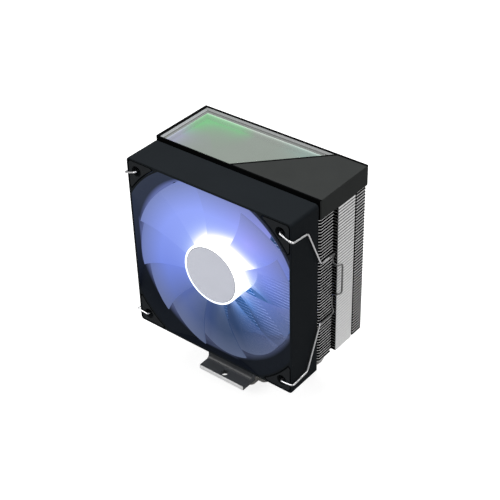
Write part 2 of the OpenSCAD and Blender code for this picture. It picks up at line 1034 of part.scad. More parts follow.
// Sideways directions along the path, each turned as little as possible from the one before
function side_ways(path, i = 0, found = []) =
    i == len(path) ? found : let (
        t = heading(path, i),
        from = i == 0 ? [0, 0, 1] : found[i - 1]
    ) side_ways(path, i + 1, concat(found, [unit(from - (from * t) * t)]));

module wire(path) {
    n = wire_sides;
    count = len(path);
    sides = side_ways(path);
    points = [
        for (i = [0:count - 1])
            let (across = cross(heading(path, i), sides[i]))
            for (k = [0:n - 1])
                let (turn = 360 * k / n)
                path[i] + wire_r * (cos(turn) * sides[i] + sin(turn) * across)
    ];
    walls = [
        for (i = [0:count - 2], k = [0:n - 1])
            let (next = (k + 1) % n)
            each cell(i * n + k, i * n + next, (i + 1) * n + next, (i + 1) * n + k, false)
    ];
    ends = [[for (k = [0:n - 1]) k], [for (k = [n - 1:-1:0]) (count - 1) * n + k]];
    polyhedron(points, concat(walls, ends));
}

module clip_right() {
    color([0.8, 0.8, 0.8])
        translate([0, 0, fan_z])
            wire(bent(clip_route()));
}

module clip_left() {
    mirror([1, 0, 0])
        clip_right();
}

base_plate();
base_block();
heat_pipe_1();
heat_pipe_2();
heat_pipe_3();
heat_pipe_4();
fin_stack();
mounting_bar();
bar_screws();
top_cover();
mirror_glass();
mirror_back();
light_guide();
led_strip();
fan_frame();
front_pads();
rear_pads();
bearing_sleeve();
thrust_pad();
stator_core();
stator_coils();
fan_board();
hub_leds();
impeller();
hub_cap();
rotor_cup();
magnet_ring();
shaft();
retaining_ring();
clip_left();
clip_right();
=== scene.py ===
# %% [markdown]
# # A tower cooler for a processor, dressed step by step
# The construction comes ready made: every solid of the cooler stands at its real size and place.
# This lesson gives it its looks. Moulded pieces get soft edges, the fan gets smooth blades, the
# wire clips become round, and every surface gets a finish built from nodes. All sizes are in metres.

# %% Load the fixed frame
import json
import math

import bpy
from mathutils import Matrix, Vector


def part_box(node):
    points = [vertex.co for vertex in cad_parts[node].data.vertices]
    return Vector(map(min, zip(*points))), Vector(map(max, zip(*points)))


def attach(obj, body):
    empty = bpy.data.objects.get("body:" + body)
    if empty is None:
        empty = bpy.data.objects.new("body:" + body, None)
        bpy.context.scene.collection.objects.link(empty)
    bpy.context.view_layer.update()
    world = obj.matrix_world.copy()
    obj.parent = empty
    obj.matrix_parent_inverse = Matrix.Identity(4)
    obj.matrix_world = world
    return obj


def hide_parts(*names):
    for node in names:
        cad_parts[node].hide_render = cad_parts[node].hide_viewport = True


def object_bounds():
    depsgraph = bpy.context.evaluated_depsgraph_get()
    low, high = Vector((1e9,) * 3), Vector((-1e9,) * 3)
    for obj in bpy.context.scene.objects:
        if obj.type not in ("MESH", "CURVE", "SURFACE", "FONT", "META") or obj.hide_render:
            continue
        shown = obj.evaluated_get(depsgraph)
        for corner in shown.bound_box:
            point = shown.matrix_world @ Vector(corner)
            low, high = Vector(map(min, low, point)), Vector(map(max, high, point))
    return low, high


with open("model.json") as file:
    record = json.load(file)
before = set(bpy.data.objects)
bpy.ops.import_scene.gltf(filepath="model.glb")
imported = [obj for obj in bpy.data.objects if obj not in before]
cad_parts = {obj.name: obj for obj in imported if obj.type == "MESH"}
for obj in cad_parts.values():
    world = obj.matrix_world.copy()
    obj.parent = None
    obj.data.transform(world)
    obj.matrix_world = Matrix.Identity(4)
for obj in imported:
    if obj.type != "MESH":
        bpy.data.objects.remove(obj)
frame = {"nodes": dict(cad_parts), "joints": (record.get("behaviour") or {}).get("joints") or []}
cad_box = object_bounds()
nodes = frame["nodes"]
joints = {joint["name"]: joint for joint in frame["joints"]}
scene = bpy.context.scene
MM = 0.001
bpy.ops.object.select_all(action="DESELECT")


def in_mm(lengths):
    """Lengths in millimetres, to print."""
    return [round(length / MM, 1) for length in lengths]


print("nodes:", len(nodes), "box:", in_mm(cad_box[1] - cad_box[0]), "mm")

# %% [markdown]
# ## The camera
# The picture looks at the fan's face from the right and from above, with a long lens, so parallel
# edges stay nearly parallel. The camera could be tracked to an empty, but its three axes are worked
# out here from the azimuth, the elevation and a slight roll, because a roll can't be tracked.

# %% Place the camera
VIEW_AZIMUTH = math.radians(39.312)
VIEW_ELEVATION = math.radians(35.362)
VIEW_ROLL = math.radians(-1.618)
CAMERA_PLACE = Vector((373.8, -468.0, 505.7)) * MM
LENS_MM = 86.0


def camera_axes(azimuth, elevation, roll):
    """The camera's right, up and backward directions."""
    level = math.cos(elevation)
    back = Vector((math.sin(azimuth) * level, -math.cos(azimuth) * level, math.sin(elevation)))
    right = Vector((0, 0, 1)).cross(back).normalized()
    up = back.cross(right)
    turned_right = right * math.cos(roll) + up * math.sin(roll)
    turned_up = up * math.cos(roll) - right * math.sin(roll)
    return turned_right, turned_up, back


bpy.ops.object.camera_add(location=CAMERA_PLACE)
camera = bpy.context.object
camera.name = "photo_camera"
camera.rotation_mode = "QUATERNION"
axes = Matrix(camera_axes(VIEW_AZIMUTH, VIEW_ELEVATION, VIEW_ROLL)).transposed()
camera.rotation_quaternion = axes.to_quaternion()
camera.data.lens = LENS_MM
scene.camera = camera
scene.view_settings.view_transform = "Standard"
print("camera at", in_mm(camera.location), "mm, lens", LENS_MM)

# %% [markdown]
# ## Floor and light
# A product shot of this kind has a plain white ground and large soft lights. A white floor would also
# shine into every black side wall, so the floor is grey to the cooler and glows only towards the
# camera: the ground stays pale, shadows stay faint and black stays black. The sky does the same, white
# where the camera sees it and dimmer as a light. One large lamp hangs overhead, one stands in front
# for the fan's face, and a weaker one stands on the right.

# %% Lay the floor
FLOOR_SIDE, FLOOR_DROP = 8.0, 0.2 * MM
FLOOR_GREY, FLOOR_GLOW = (0.40, 0.40, 0.40, 1), (0.78, 0.78, 0.78, 1)
FLOOR_ROUGHNESS = 0.9
bpy.ops.mesh.primitive_plane_add(size=FLOOR_SIDE, location=(0, 0, -FLOOR_DROP))
floor = bpy.context.object
floor.name = "studio_floor"
floor_paint = bpy.data.materials.new("floor_paint")
floor_paint.use_nodes = True
floor_tree = floor_paint.node_tree
floor_shader = floor_tree.nodes["Principled BSDF"]
floor_shader.inputs["Base Color"].default_value = FLOOR_GREY
floor_shader.inputs["Roughness"].default_value = FLOOR_ROUGHNESS
floor_shader.inputs["Emission Color"].default_value = FLOOR_GLOW
floor_seen = floor_tree.nodes.new("ShaderNodeLightPath").outputs["Is Camera Ray"]
floor_tree.links.new(floor_seen, floor_shader.inputs["Emission Strength"])
floor.data.materials.append(floor_paint)
print("floor:", FLOOR_SIDE, "m wide")

# %% Hang the lamps
SKY_LIGHT, SKY_SHOWN = 0.34, 1.0
LAMPS = {
    "overhead_box": {"place": (-0.2, 0.5, 1.5), "side": 1.2, "watts": 34},
    "front_box": {"place": (-0.7, -1.3, 0.9), "side": 1.0, "watts": 18},
    "right_box": {"place": (1.5, -0.1, 0.7), "side": 0.9, "watts": 6},
}


def hang_lamp(name, place, side, watts):
    """Adds a square lamp that faces the middle of the cooler."""
    bpy.ops.object.light_add(type="AREA", location=place)
    lamp = bpy.context.object
    lamp.name = name
    lamp.data.size = side
    lamp.data.energy = watts
    aim = (cad_box[0] + cad_box[1]) / 2 - lamp.location
    lamp.rotation_mode = "QUATERNION"
    lamp.rotation_quaternion = aim.to_track_quat("-Z", "Y")


for lamp_name, lamp_facts in LAMPS.items():
    hang_lamp(lamp_name, **lamp_facts)
sky = bpy.data.worlds.new("studio_sky")
sky.use_nodes = True
sky_tree = sky.node_tree
sky_light = sky_tree.nodes["Background"]
sky_light.inputs["Color"].default_value = (1, 1, 1, 1)
sky_seen = sky_tree.nodes.new("ShaderNodeLightPath").outputs["Is Camera Ray"]
sky_strength = sky_tree.nodes.new("ShaderNodeMapRange")
sky_strength.inputs["To Min"].default_value = SKY_LIGHT
sky_strength.inputs["To Max"].default_value = SKY_SHOWN
sky_tree.links.new(sky_seen, sky_strength.inputs["Value"])
sky_tree.links.new(sky_strength.outputs["Result"], sky_light.inputs["Strength"])
scene.world = sky
print("lamps:", *LAMPS)

# %% [markdown]
# ## Helpers for hand work
# Operators act on whatever is selected, so each step first picks one object, and then picks faces by
# their place or by the way they face. A CAD solid arrives as loose triangles. A copy of it is welded,
# and its flat triangles are joined, before an edge of it can be rounded.

# %% Pick an object and open it


def only(piece):
    """Selects one object and makes it the active one."""
    bpy.ops.object.select_all(action="DESELECT")
    piece.select_set(True)
    bpy.context.view_layer.objects.active = piece


def leave_edit():
    bpy.ops.object.mode_set(mode="OBJECT")


def pick_all(piece, action="SELECT"):
    """Opens a piece for editing with all of it selected, or none of it."""
    only(piece)
    bpy.ops.object.mode_set(mode="EDIT")
    bpy.ops.mesh.select_all(action=action)


# %% Pick faces and edges
SHARP = math.radians(35)


def pick_none(elements):
    elements.foreach_set("select", [False] * len(elements))


def pick_faces(piece, wanted):
    """Selects the faces whose centre and normal pass a test."""
    pick_none(piece.data.vertices)
    pick_none(piece.data.edges)
    for face in piece.data.polygons:
        face.select = wanted(face.center, face.normal)
    only(piece)
    bpy.ops.object.mode_set(mode="EDIT")
    bpy.ops.mesh.select_mode(type="FACE")


def pick_sharp_edges(piece, wanted):
    """Selects the sharp edges whose two ends both pass a test."""
    mesh = piece.data
    pick_all(piece, "DESELECT")
    bpy.ops.mesh.select_mode(type="EDGE")
    bpy.ops.mesh.edges_select_sharp(sharpness=SHARP)
    leave_edit()
    passes = [wanted(vertex.co) for vertex in mesh.vertices]
    picked = [edge.select and all(passes[end] for end in edge.vertices) for edge in mesh.edges]
    pick_none(mesh.vertices)
    pick_none(mesh.polygons)
    mesh.edges.foreach_set("select", picked)
    bpy.ops.object.mode_set(mode="EDIT")


print("an edge is sharp from", round(math.degrees(SHARP)), "degrees")

# %% Copy a solid
WELD, FLAT = 0.002 * MM, math.radians(0.2)


def welded_copy(node, name):
    """A copy of a CAD solid with its triangles welded and its flat faces joined."""
    piece = bpy.data.objects.new(name, nodes[node].data.copy())
    scene.collection.objects.link(piece)
    piece.data.materials.clear()
    only(piece)
    bpy.ops.mesh.customdata_custom_splitnormals_clear()
    pick_all(piece)
    bpy.ops.mesh.remove_doubles(threshold=WELD)
    bpy.ops.mesh.dissolve_limited(angle_limit=FLAT)
    leave_edit()
    return piece


def stand_for(piece, node, body):
    """Lets a new piece take the place of a CAD solid."""
    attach(piece, body)
    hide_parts(node)
    triangles = sum(len(face.vertices) - 2 for face in piece.data.polygons)
    print(piece.name, "stands for", node, "with", triangles, "triangles")


# %% Soften, paint and smooth a copy
SMOOTH = math.radians(40)


def anywhere(co):
    return True


def soften(piece, width, finishes, wanted=anywhere):
    """Rounds sharp edges; a second finish, where there is one, goes on the rounded edges."""
    for finish in finishes:
        piece.data.materials.append(finish)
    pick_sharp_edges(piece, wanted)
    bpy.ops.mesh.bevel(offset=width, segments=3, affect="EDGES", clamp_overlap=True,
                       material=len(finishes) - 1)
    leave_edit()


def paint_faces(piece, wanted, index):
    """Gives one of a piece's finishes to the faces that pass a test."""
    pick_faces(piece, wanted)
    piece.active_material_index = index
    bpy.ops.object.material_slot_assign()
    leave_edit()


def smooth(piece):
    """Shades the curves smooth and keeps the flat faces flat."""
    only(piece)
    bpy.ops.object.shade_smooth_by_angle(angle=SMOOTH)
    weighted = piece.modifiers.new("flat_faces", "WEIGHTED_NORMAL")
    weighted.keep_sharp = True
    bpy.ops.object.modifier_apply(modifier=weighted.name)


print("a curve is smooth up to", round(math.degrees(SMOOTH)), "degrees")

# %% [markdown]
# ## Node groups that several finishes share
# Real surfaces are never one even colour. Three effects come back in many finishes, so each is made
# once as a group: the fine grain of moulded plastic and rubber, the long streaks of rolled or drawn
# metal, and the way that light fades with the distance from a lamp. A group hands out only colours,
# heights and masks. The shader itself stays in each finish.

# %% Helpers for nodes
BLACK, WHITE = (0, 0, 0, 1), (1, 1, 1, 1)
NUMBER, COLOR, VECTOR = "NodeSocketFloat", "NodeSocketColor", "NodeSocketVector"


def new_group(name, inputs, outputs):
    """An empty node group with named sockets."""
    group = bpy.data.node_groups.new(name, "ShaderNodeTree")
    for socket, kind, value in inputs:
        made = group.interface.new_socket(socket, in_out="INPUT", socket_type=kind)
        if value is not None:
            made.default_value = value
    for socket, kind in outputs:
        group.interface.new_socket(socket, in_out="OUTPUT", socket_type=kind)
    return group, group.nodes.new("NodeGroupInput").outputs, group.nodes.new("NodeGroupOutput").inputs


def tree_of(*values):
    """The node tree of the first socket among some values."""
    return next(value.id_data for value in values if hasattr(value, "is_linked"))


def add(tree, kind, **settings):
    """Adds a node with its settings."""
    node = tree.nodes.new(kind)
    for key, value in settings.items():
        setattr(node, key, value)
    return node


def plug(value, socket):
    """Links another socket to a socket, or sets a plain value on it."""
    if hasattr(value, "is_linked"):
        socket.id_data.links.new(value, socket)
    else:
        socket.default_value = value


print("kinds of socket:", NUMBER, COLOR, VECTOR)

# %% Helpers for sums and masks


def math_node(operation, *values, clamp=False):
    """A Math node fed by sockets or plain numbers."""
    node = add(tree_of(*values), "ShaderNodeMath", operation=operation, use_clamp=clamp)
    for value, socket in zip(values, node.inputs):
        plug(value, socket)
    return node.outputs[0]


def minus(first, second):
    return math_node("SUBTRACT", first, second)


def absolute(value):
    return math_node("ABSOLUTE", value)


def above(value, limit):
    """A mask that is 1 above a limit and 0 elsewhere."""
    return math_node("GREATER_THAN", value, limit)


def below(value, limit):
    """A mask that is 1 below a limit and 0 elsewhere."""
    return math_node("LESS_THAN", value, limit)


def product(*factors):
    """Several masks multiplied."""
    result = factors[0]
    for factor in factors[1:]:
        result = math_node("MULTIPLY", result, factor)
    return result


print("masks run from 0 to 1")

# %% Helpers for vectors and spans
GIVES_NUMBER = ("LENGTH", "DISTANCE", "DOT_PRODUCT")
SPAN = ("Value", "From Min", "From Max", "To Min", "To Max")


def vector_math(operation, *vectors):
    """A Vector Math node, which gives a vector or a number."""
    node = add(tree_of(*vectors), "ShaderNodeVectorMath", operation=operation)
    for vector, socket in zip(vectors, node.inputs):
        plug(vector, socket)
    return node.outputs["Value" if operation in GIVES_NUMBER else "Vector"]


def split_xyz(vector):
    """The X, Y and Z of a vector."""
    node = add(vector.id_data, "ShaderNodeSeparateXYZ")
    plug(vector, node.inputs[0])
    return tuple(node.outputs)


def split_normal(place):
    """The X, Y and Z of the direction that a face looks in, in the finish that the place is from."""
    return split_xyz(add(place.id_data, "ShaderNodeNewGeometry").outputs["Normal"])


def remap(*span):
    """A Map Range node: a value, the span it comes from, and the span it goes to."""
    node = add(tree_of(*span), "ShaderNodeMapRange")
    for value, socket in zip(span, SPAN):
        plug(value, node.inputs[socket])
    return node.outputs["Result"]


print("a remap takes:", *SPAN)

# %% Helpers for colours
MIX_INPUTS, MIX_OUTPUT = (0, 6, 7), 2  # where a Mix node keeps its factor and its colours


def color_ramp(value, stops):
    """A Color Ramp node with its stops given as pairs of place and colour."""
    node = add(value.id_data, "ShaderNodeValToRGB")
    elements = node.color_ramp.elements
    elements[0].position, elements[0].color = stops[0]
    elements[1].position, elements[1].color = stops[-1]
    for place, color in stops[1:-1]:
        elements.new(place).color = color
    plug(value, node.inputs["Fac"])
    return node.outputs["Color"]


def blend_colors(factor, first, second, mode="MIX"):
    """A Mix node for two colours, each a socket or a plain colour."""
    node = add(tree_of(factor, first, second), "ShaderNodeMix", data_type="RGBA", blend_type=mode)
    for value, index in zip((factor, first, second), MIX_INPUTS):
        plug(value, node.inputs[index])
    return node.outputs[MIX_OUTPUT]


def dimmed(color, level):
    """A colour times a number."""
    return blend_colors(1.0, color, level, "MULTIPLY")


print("black", BLACK, "white", WHITE)

# %% Group for moulded grain
PIT_DETAIL, PATCH_DETAIL, PATCHES_PER_METRE = 3, 4, 45
PATCH_SWING, PIT_SWING = 0.06, 0.05
NOISE_LOW, NOISE_HIGH = 0.3, 0.7
SURFACE = [("Color", COLOR), ("Roughness", NUMBER), ("Height", NUMBER)]
grain_group, grain_in, grain_out = new_group(
    "Moulded grain",
    [
        ("Vector", VECTOR, None),
        ("Color", COLOR, (0.02, 0.02, 0.02, 1)),
        ("Grain per metre", NUMBER, 4000.0),
        ("Roughness", NUMBER, 0.5),
        ("Unevenness", NUMBER, 0.1),
    ],
    SURFACE,
)


def noise(vector, scale, detail=2.0):
    """A Noise Texture node."""
    node = add(vector.id_data, "ShaderNodeTexNoise")
    for socket, value in (("Vector", vector), ("Scale", scale), ("Detail", detail)):
        plug(value, node.inputs[socket])
    return node.outputs[0]


pits = noise(grain_in["Vector"], grain_in["Grain per metre"], PIT_DETAIL)
patches = noise(grain_in["Vector"], PATCHES_PER_METRE, PATCH_DETAIL)
lighter = math_node("MULTIPLY_ADD", patches, grain_in["Unevenness"], 1.0)
plug(dimmed(grain_in["Color"], lighter), grain_out["Color"])
wander = remap(patches, NOISE_LOW, NOISE_HIGH, -PATCH_SWING, PATCH_SWING)
speckle = remap(pits, NOISE_LOW, NOISE_HIGH, -PIT_SWING, PIT_SWING)
rough = math_node("ADD", grain_in["Roughness"], wander)
plug(math_node("ADD", rough, speckle), grain_out["Roughness"])
plug(pits, grain_out["Height"])
print("group:", grain_group.name)

# %% Group for streaked metal
LINE_DETAIL, CLOUDS_PER_METRE = 5, 60
STREAK_DIM = 0.86
streak_group, streak_in, streak_out = new_group(
    "Metal streaks",
    [
        ("Vector", VECTOR, None),
        ("Color", COLOR, (0.8, 0.8, 0.8, 1)),
        ("Streaks", VECTOR, (60.0, 3000.0, 3000.0)),
        ("Roughness", NUMBER, 0.3),
        ("Spread", NUMBER, 0.12),
    ],
    SURFACE,
)
stretched = vector_math("MULTIPLY", streak_in["Vector"], streak_in["Streaks"])
lines = noise(stretched, 1.0, LINE_DETAIL)
clouds = noise(streak_in["Vector"], CLOUDS_PER_METRE)
dimming = remap(lines, NOISE_LOW, NOISE_HIGH, STREAK_DIM, 1.0)
plug(dimmed(streak_in["Color"], dimming), streak_out["Color"])
both = math_node("ADD", lines, clouds)
swing = product(minus(both, 1.0), streak_in["Spread"])
plug(math_node("ADD", streak_in["Roughness"], swing), streak_out["Roughness"])
plug(lines, streak_out["Height"])
print("group:", streak_group.name)

# %% Group for fading light
fade_group, fade_in, fade_out = new_group(
    "Fading light", [("Distance", NUMBER, 0.0), ("Reach", NUMBER, 0.01)], [("Mask", NUMBER)])
steps = math_node("DIVIDE", fade_in["Distance"], fade_in["Reach"])
downwards = math_node("MULTIPLY", math_node("MAXIMUM", steps, 0.0), -1.0)
plug(math_node("EXPONENT", downwards), fade_out["Mask"])
print("group:", fade_group.name)

# %% Start a finish


def new_finish(name, metallic=0.0, specular=0.5):
    """A material with its shader and the object's own coordinates."""
    finish = bpy.data.materials.new(name)
    finish.use_nodes = True
    shader = finish.node_tree.nodes["Principled BSDF"]
    shader.inputs["Metallic"].default_value = metallic
    shader.inputs["Specular IOR Level"].default_value = specular
    return finish, shader, add(finish.node_tree, "ShaderNodeTexCoord").outputs["Object"]


def use_group(group, **values):
    """Places a group in a finish, with its own values, and hands out its sockets."""
    node = add(tree_of(*values.values()), "ShaderNodeGroup", node_tree=group)
    for key, value in values.items():
        plug(value, node.inputs[key.replace("_", " ")])
    return node.outputs


def fade(distance, reach):
    """The mask of the group for fading light."""
    return use_group(fade_group, Distance=distance, Reach=reach)["Mask"]


print("groups to use:", [group.name for group in (grain_group, streak_group, fade_group)])

# %% Feed a shader
PLAIN_GLOW = 1.0


def bumped(shader, height, depth):
    """Feeds a height to the shader's normal; the depth is a real depth."""
    bump = add(height.id_data, "ShaderNodeBump")
    bump.inputs["Distance"].default_value = depth
    plug(height, bump.inputs["Height"])
    plug(bump.outputs["Normal"], shader.inputs["Normal"])


def feed(surface, shader, depth=0):
    """Joins a grain or streak group to the shader, with a bump where a depth is given."""
    plug(surface["Color"], shader.inputs["Base Color"])
    plug(surface["Roughness"], shader.inputs["Roughness"])
    if depth:
        bumped(shader, surface["Height"], depth)


def let_glow(shader, color, strength=PLAIN_GLOW):
    """Feeds a colour to the light that a surface gives by itself."""
    plug(color, shader.inputs["Emission Color"])
    shader.inputs["Emission Strength"].default_value = strength


print("plain glow:", PLAIN_GLOW)

# %% [markdown]
# ## Black plastics and rubber
# The fan frame and the cover are moulded from black plastic with a fine matt grain, and the corner
# pads are a little duller. Black plastic shows mostly what it mirrors, so a low gloss keeps the side
# walls dark above a white floor.

# %% Finishes for plastic and rubber
GRAIN, GRAIN_DEPTH, UNEVENNESS = 3500.0, 0.012 * MM, 0.35


def grained(shader, place, color, roughness, grain=GRAIN, depth=GRAIN_DEPTH, unevenness=UNEVENNESS):
    """Gives a shader the moulded grain."""
    surface = use_group(grain_group, Vector=place, Color=(*color, 1), Grain_per_metre=grain,
                        Roughness=roughness, Unevenness=unevenness)
    feed(surface, shader, depth)


def moulded_finish(name, specular, **facts):
    """A plain moulded finish."""
    finish, shader, place = new_finish(name, specular=specular)
    grained(shader, place, **facts)
    return finish


cover_plastic = moulded_finish("cover_plastic", 0.015, color=(0.0210, 0.0224, 0.0219), roughness=0.46,
                               grain=4500.0)
# Near-black painted shade for the cover's front wall and the rim round the pane, which lie in the fan's
# shade.
cover_painted_shade = moulded_finish("cover_painted_shade", 0.01, color=(0.0015, 0.0016, 0.0017), roughness=0.7)
pad_rubber = moulded_finish("pad_rubber", 0.03, color=(0.0135, 0.0148, 0.0162), roughness=0.72,
                            grain=2600.0, depth=0.02 * MM)
# Near-black painted shade for the pads' rounded edges, standing for the shade in the seam round each
# pad.
pad_seam_shade = moulded_finish("pad_seam_shade", 0.01, color=(0.0012, 0.0013, 0.0016), roughness=0.8)
print("plastics:", cover_plastic.name, cover_painted_shade.name, pad_rubber.name, pad_seam_shade.name)

# %% [markdown]
# ## Metals
# The contact plate and the pipes are plated, the clips are drawn wire, and the block and the screws
# are left bare. Every metal keeps fine marks of the tool that made it, so each uses the streak group
# with its own direction. The fins and the bar need masks as well, so they come after.

# %% Finishes for metal
STREAK_SPREAD, STREAK_DEPTH, WIRE_DEPTH = 0.14, 0.003 * MM, 0.0004 * MM


def metal_finish(name, color, roughness, streaks, depth=STREAK_DEPTH):
    """A metal with streaks; a small count per metre draws them out along that axis."""
    finish, shader, place = new_finish(name, metallic=1.0)
    surface = use_group(streak_group, Vector=place, Color=(*color, 1), Streaks=streaks,
                        Roughness=roughness, Spread=STREAK_SPREAD)
    feed(surface, shader, depth)
    return finish


METALS = {
    "plate_nickel": ((0.74, 0.73, 0.71), 0.34, (2500, 60, 2500)),
    "pipe_nickel": ((0.72, 0.71, 0.69), 0.22, (900, 900, 60)),
    "block_metal": ((0.72, 0.73, 0.74), 0.38, (2500, 80, 80)),
    "clip_steel": ((0.74, 0.74, 0.75), 0.3, (3000, 3000, 300), WIRE_DEPTH),
    # Darker steel for painted shade and painted reflection on the wire in the groove and its lower run.
    "shaded_wire_steel": ((0.20, 0.20, 0.20), 0.4, (3000, 3000, 300), WIRE_DEPTH),
    "screw_steel": ((0.66, 0.66, 0.67), 0.3, (2000, 2000, 200)),
    "core_steel": ((0.5, 0.5, 0.52), 0.45, (200, 3000, 200)),
    "bronze": ((0.72, 0.5, 0.26), 0.45, (1500, 1500, 1500)),
    "coil_copper": ((0.8, 0.4, 0.18), 0.35, (3000, 300, 3000)),
}
metals = {name: metal_finish(name, *facts) for name, facts in METALS.items()}
print("metals:", *metals)

# %% [markdown]
# ## The stacked fins
# Fifty-one thin sheets lie about two millimetres apart, and daylight reaches only a little way in
# between them. A renderer lets bare metal pass light on without end, so the gaps would look milky. The
# finish therefore paints shade on the flat of a sheet, deeper with its distance from the open edge, and
# takes away its metal. Cut edges, folded sides and the open underside stay bright. The seams between
# the folded sides get painted shade, dark at the top and fading towards the foot, and the edges behind
# the fan are darkened as painted shadow of the fan.

# %% Places on a fin
fin_low, fin_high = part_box("fin_stack")
FIN_SIDE_FRONT, FIN_SIDE_REAR, FIN_STEP_AT = 58.5 * MM, 60.2 * MM, -8.5 * MM
LIES_FLAT, FACES_FAN = 0.7, -0.9
SKIN = 0.05 * MM
fin_finish, fin_shader, fin_place = new_finish("fin_metal", specular=0.05)
fin_x, fin_y, fin_z = split_xyz(fin_place)
fin_aside = absolute(fin_x)
in_front = below(fin_y, FIN_STEP_AT)
fin_side = remap(in_front, 0, 1, FIN_SIDE_REAR, FIN_SIDE_FRONT)
from_side = minus(fin_side, fin_aside)
from_face = minus(fin_high.y, absolute(fin_y))
from_edge = math_node("MINIMUM", from_side, from_face)
fin_ahead, fin_up = split_normal(fin_place)[1:]
faces_fan = below(fin_ahead, FACES_FAN)
lies_flat = above(absolute(fin_up), LIES_FLAT)
not_under = above(fin_z, fin_low.z + SKIN)
between = product(lies_flat, not_under)
print("fins from", *in_mm(fin_low), "to", *in_mm(fin_high), "mm")

# %% Finish for the fins
RIM_FRONT, RIM_REAR_FOOT, RIM_REAR_TOP = 0.02 * MM, 0.15 * MM, 0.5 * MM
DEEP_SHADE, BEHIND_FAN = 0.004, 0.4
FIN_PITCH, BAND_SIDE = 2.08 * MM, 60.3 * MM
SEAM_SHARE, SEAM_TOP, SEAM_FOOT = 0.34, 0.0, 1.0
FIN_METALLIC = 0.45
rear_rim = remap(fin_z, fin_low.z, fin_high.z, RIM_REAR_FOOT, RIM_REAR_TOP)
fin_rim = remap(in_front, 0, 1, rear_rim, RIM_FRONT)
sheet_light = remap(from_edge, 0.0, fin_rim, 1.0, DEEP_SHADE)
gap_light = remap(between, 0, 1, 1.0, sheet_light)
# Painted shade in the seams of the folded band, darkest at the top and none at the foot.
on_band = above(fin_aside, BAND_SIDE)
above_foot = minus(fin_z, fin_low.z)
fin_count = math_node("DIVIDE", above_foot, FIN_PITCH)
at_seam = below(math_node("FRACT", fin_count), SEAM_SHARE)
seam_shade_level = remap(fin_z, fin_low.z, fin_high.z, SEAM_FOOT, SEAM_TOP)
seam_light = remap(product(on_band, at_seam), 0, 1, 1.0, seam_shade_level)
# Painted shadow of the fan on the fin faces that look towards it.
fan_shade = remap(faces_fan, 0, 1, 1.0, BEHIND_FAN)
fin_surface = use_group(streak_group, Vector=fin_place, Color=(0.87, 0.87, 0.87, 1),
                        Streaks=(40, 1500, 1500), Roughness=0.36, Spread=STREAK_SPREAD)
fin_light = product(seam_light, fan_shade, gap_light)
plug(dimmed(fin_surface["Color"], fin_light), fin_shader.inputs["Base Color"])
plug(fin_surface["Roughness"], fin_shader.inputs["Roughness"])
plug(remap(between, 0, 1, FIN_METALLIC, 0), fin_shader.inputs["Metallic"])
bumped(fin_shader, fin_surface["Height"], STREAK_DEPTH)
print("fin finish:", fin_finish.name)

# %% [markdown]
# ## The coated bar
# The bar over the base is coated black, and its sawn ends shine. One finish can hold both: a mask
# asks how far a point lies from the middle of the bar and turns to bare metal at the ends. The upright
# faces of its step lie in shade, so they get a darker colour as painted shade.

# %% Finish for the bar
bar_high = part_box("mounting_bar")[1]
BAR_EDGE, ON_STEP = 0.18 * MM, 0.5
STEP_SHADE, SAWN_METALLIC = (0.024, 0.026, 0.029, 1), 0.25
BAR_DEPTH = 0.01 * MM
bar_finish, bar_shader, bar_place = new_finish("bar_coating", specular=0.4)
from_middle = absolute(split_xyz(bar_place)[1])
cut_end = above(from_middle, bar_high.y - BAR_EDGE)
coat = use_group(grain_group, Vector=bar_place, Color=(0.056, 0.060, 0.067, 1),
                 Grain_per_metre=3000.0, Roughness=0.42, Unevenness=0.5)
sawn = use_group(streak_group, Vector=bar_place, Color=(0.9, 0.9, 0.9, 1),
                 Streaks=(90, 2500, 2500), Roughness=0.3)
upright = absolute(split_normal(bar_place)[1])
on_step = above(upright, ON_STEP)
# Painted shade on the upright faces of the step.
coat_and_step_shade = blend_colors(on_step, coat["Color"], STEP_SHADE)
bar_color = blend_colors(cut_end, coat_and_step_shade, sawn["Color"])
bar_rough = remap(cut_end, 0, 1, coat["Roughness"], sawn["Roughness"])
plug(bar_color, bar_shader.inputs["Base Color"])
plug(product(cut_end, SAWN_METALLIC), bar_shader.inputs["Metallic"])
plug(bar_rough, bar_shader.inputs["Roughness"])
bumped(bar_shader, coat["Height"], BAR_DEPTH)
print("bar finish:", bar_finish.name)

# %% [markdown]
# ## The lit blades
# The blades and the hub are one moulding of frosted plastic, and lamps inside the hub light it. The
# light is white beside the hub, then blue, with some violet at the upper right and azure under the
# hub, and it fades to slate on the side that turns away from the lamps. It could be left to real light
# inside the plastic, but that is slow and noisy. Instead the plastic glows by itself, with a colour
# that depends on the place round the shaft. On the right it is clearer, so the fins show through.

# %% Places round the shaft
shaft_place = Vector(joints["fan_spin"]["pos_m"])
cap_low, cap_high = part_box("hub_cap")
blade_low, blade_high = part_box("impeller")
HUB_RIM = 1.3 * MM
hub_radius = cap_high.x + HUB_RIM
tip_radius = blade_high.x


def toward(degrees):
    """A direction round the shaft, from the right side over the top."""
    return Vector((math.cos(math.radians(degrees)), 0, math.sin(math.radians(degrees))))


def shaft_offset(place):
    """The way from the shaft to a point, straight across the shaft."""
    return vector_math("MULTIPLY", vector_math("SUBTRACT", place, shaft_place), (1, 0, 1))


def facing(offset, side):
    """How far a point lies to one side of the shaft, from 1 there to -1 on the far side."""
    return vector_math("DOT_PRODUCT", vector_math("NORMALIZE", offset), side)


def spot(offset, place, reach):
    """A soft spot of light round a place."""
    return fade(vector_math("DISTANCE", offset, place), reach)


print("hub and tip radius:", in_mm((hub_radius, tip_radius)), "mm")

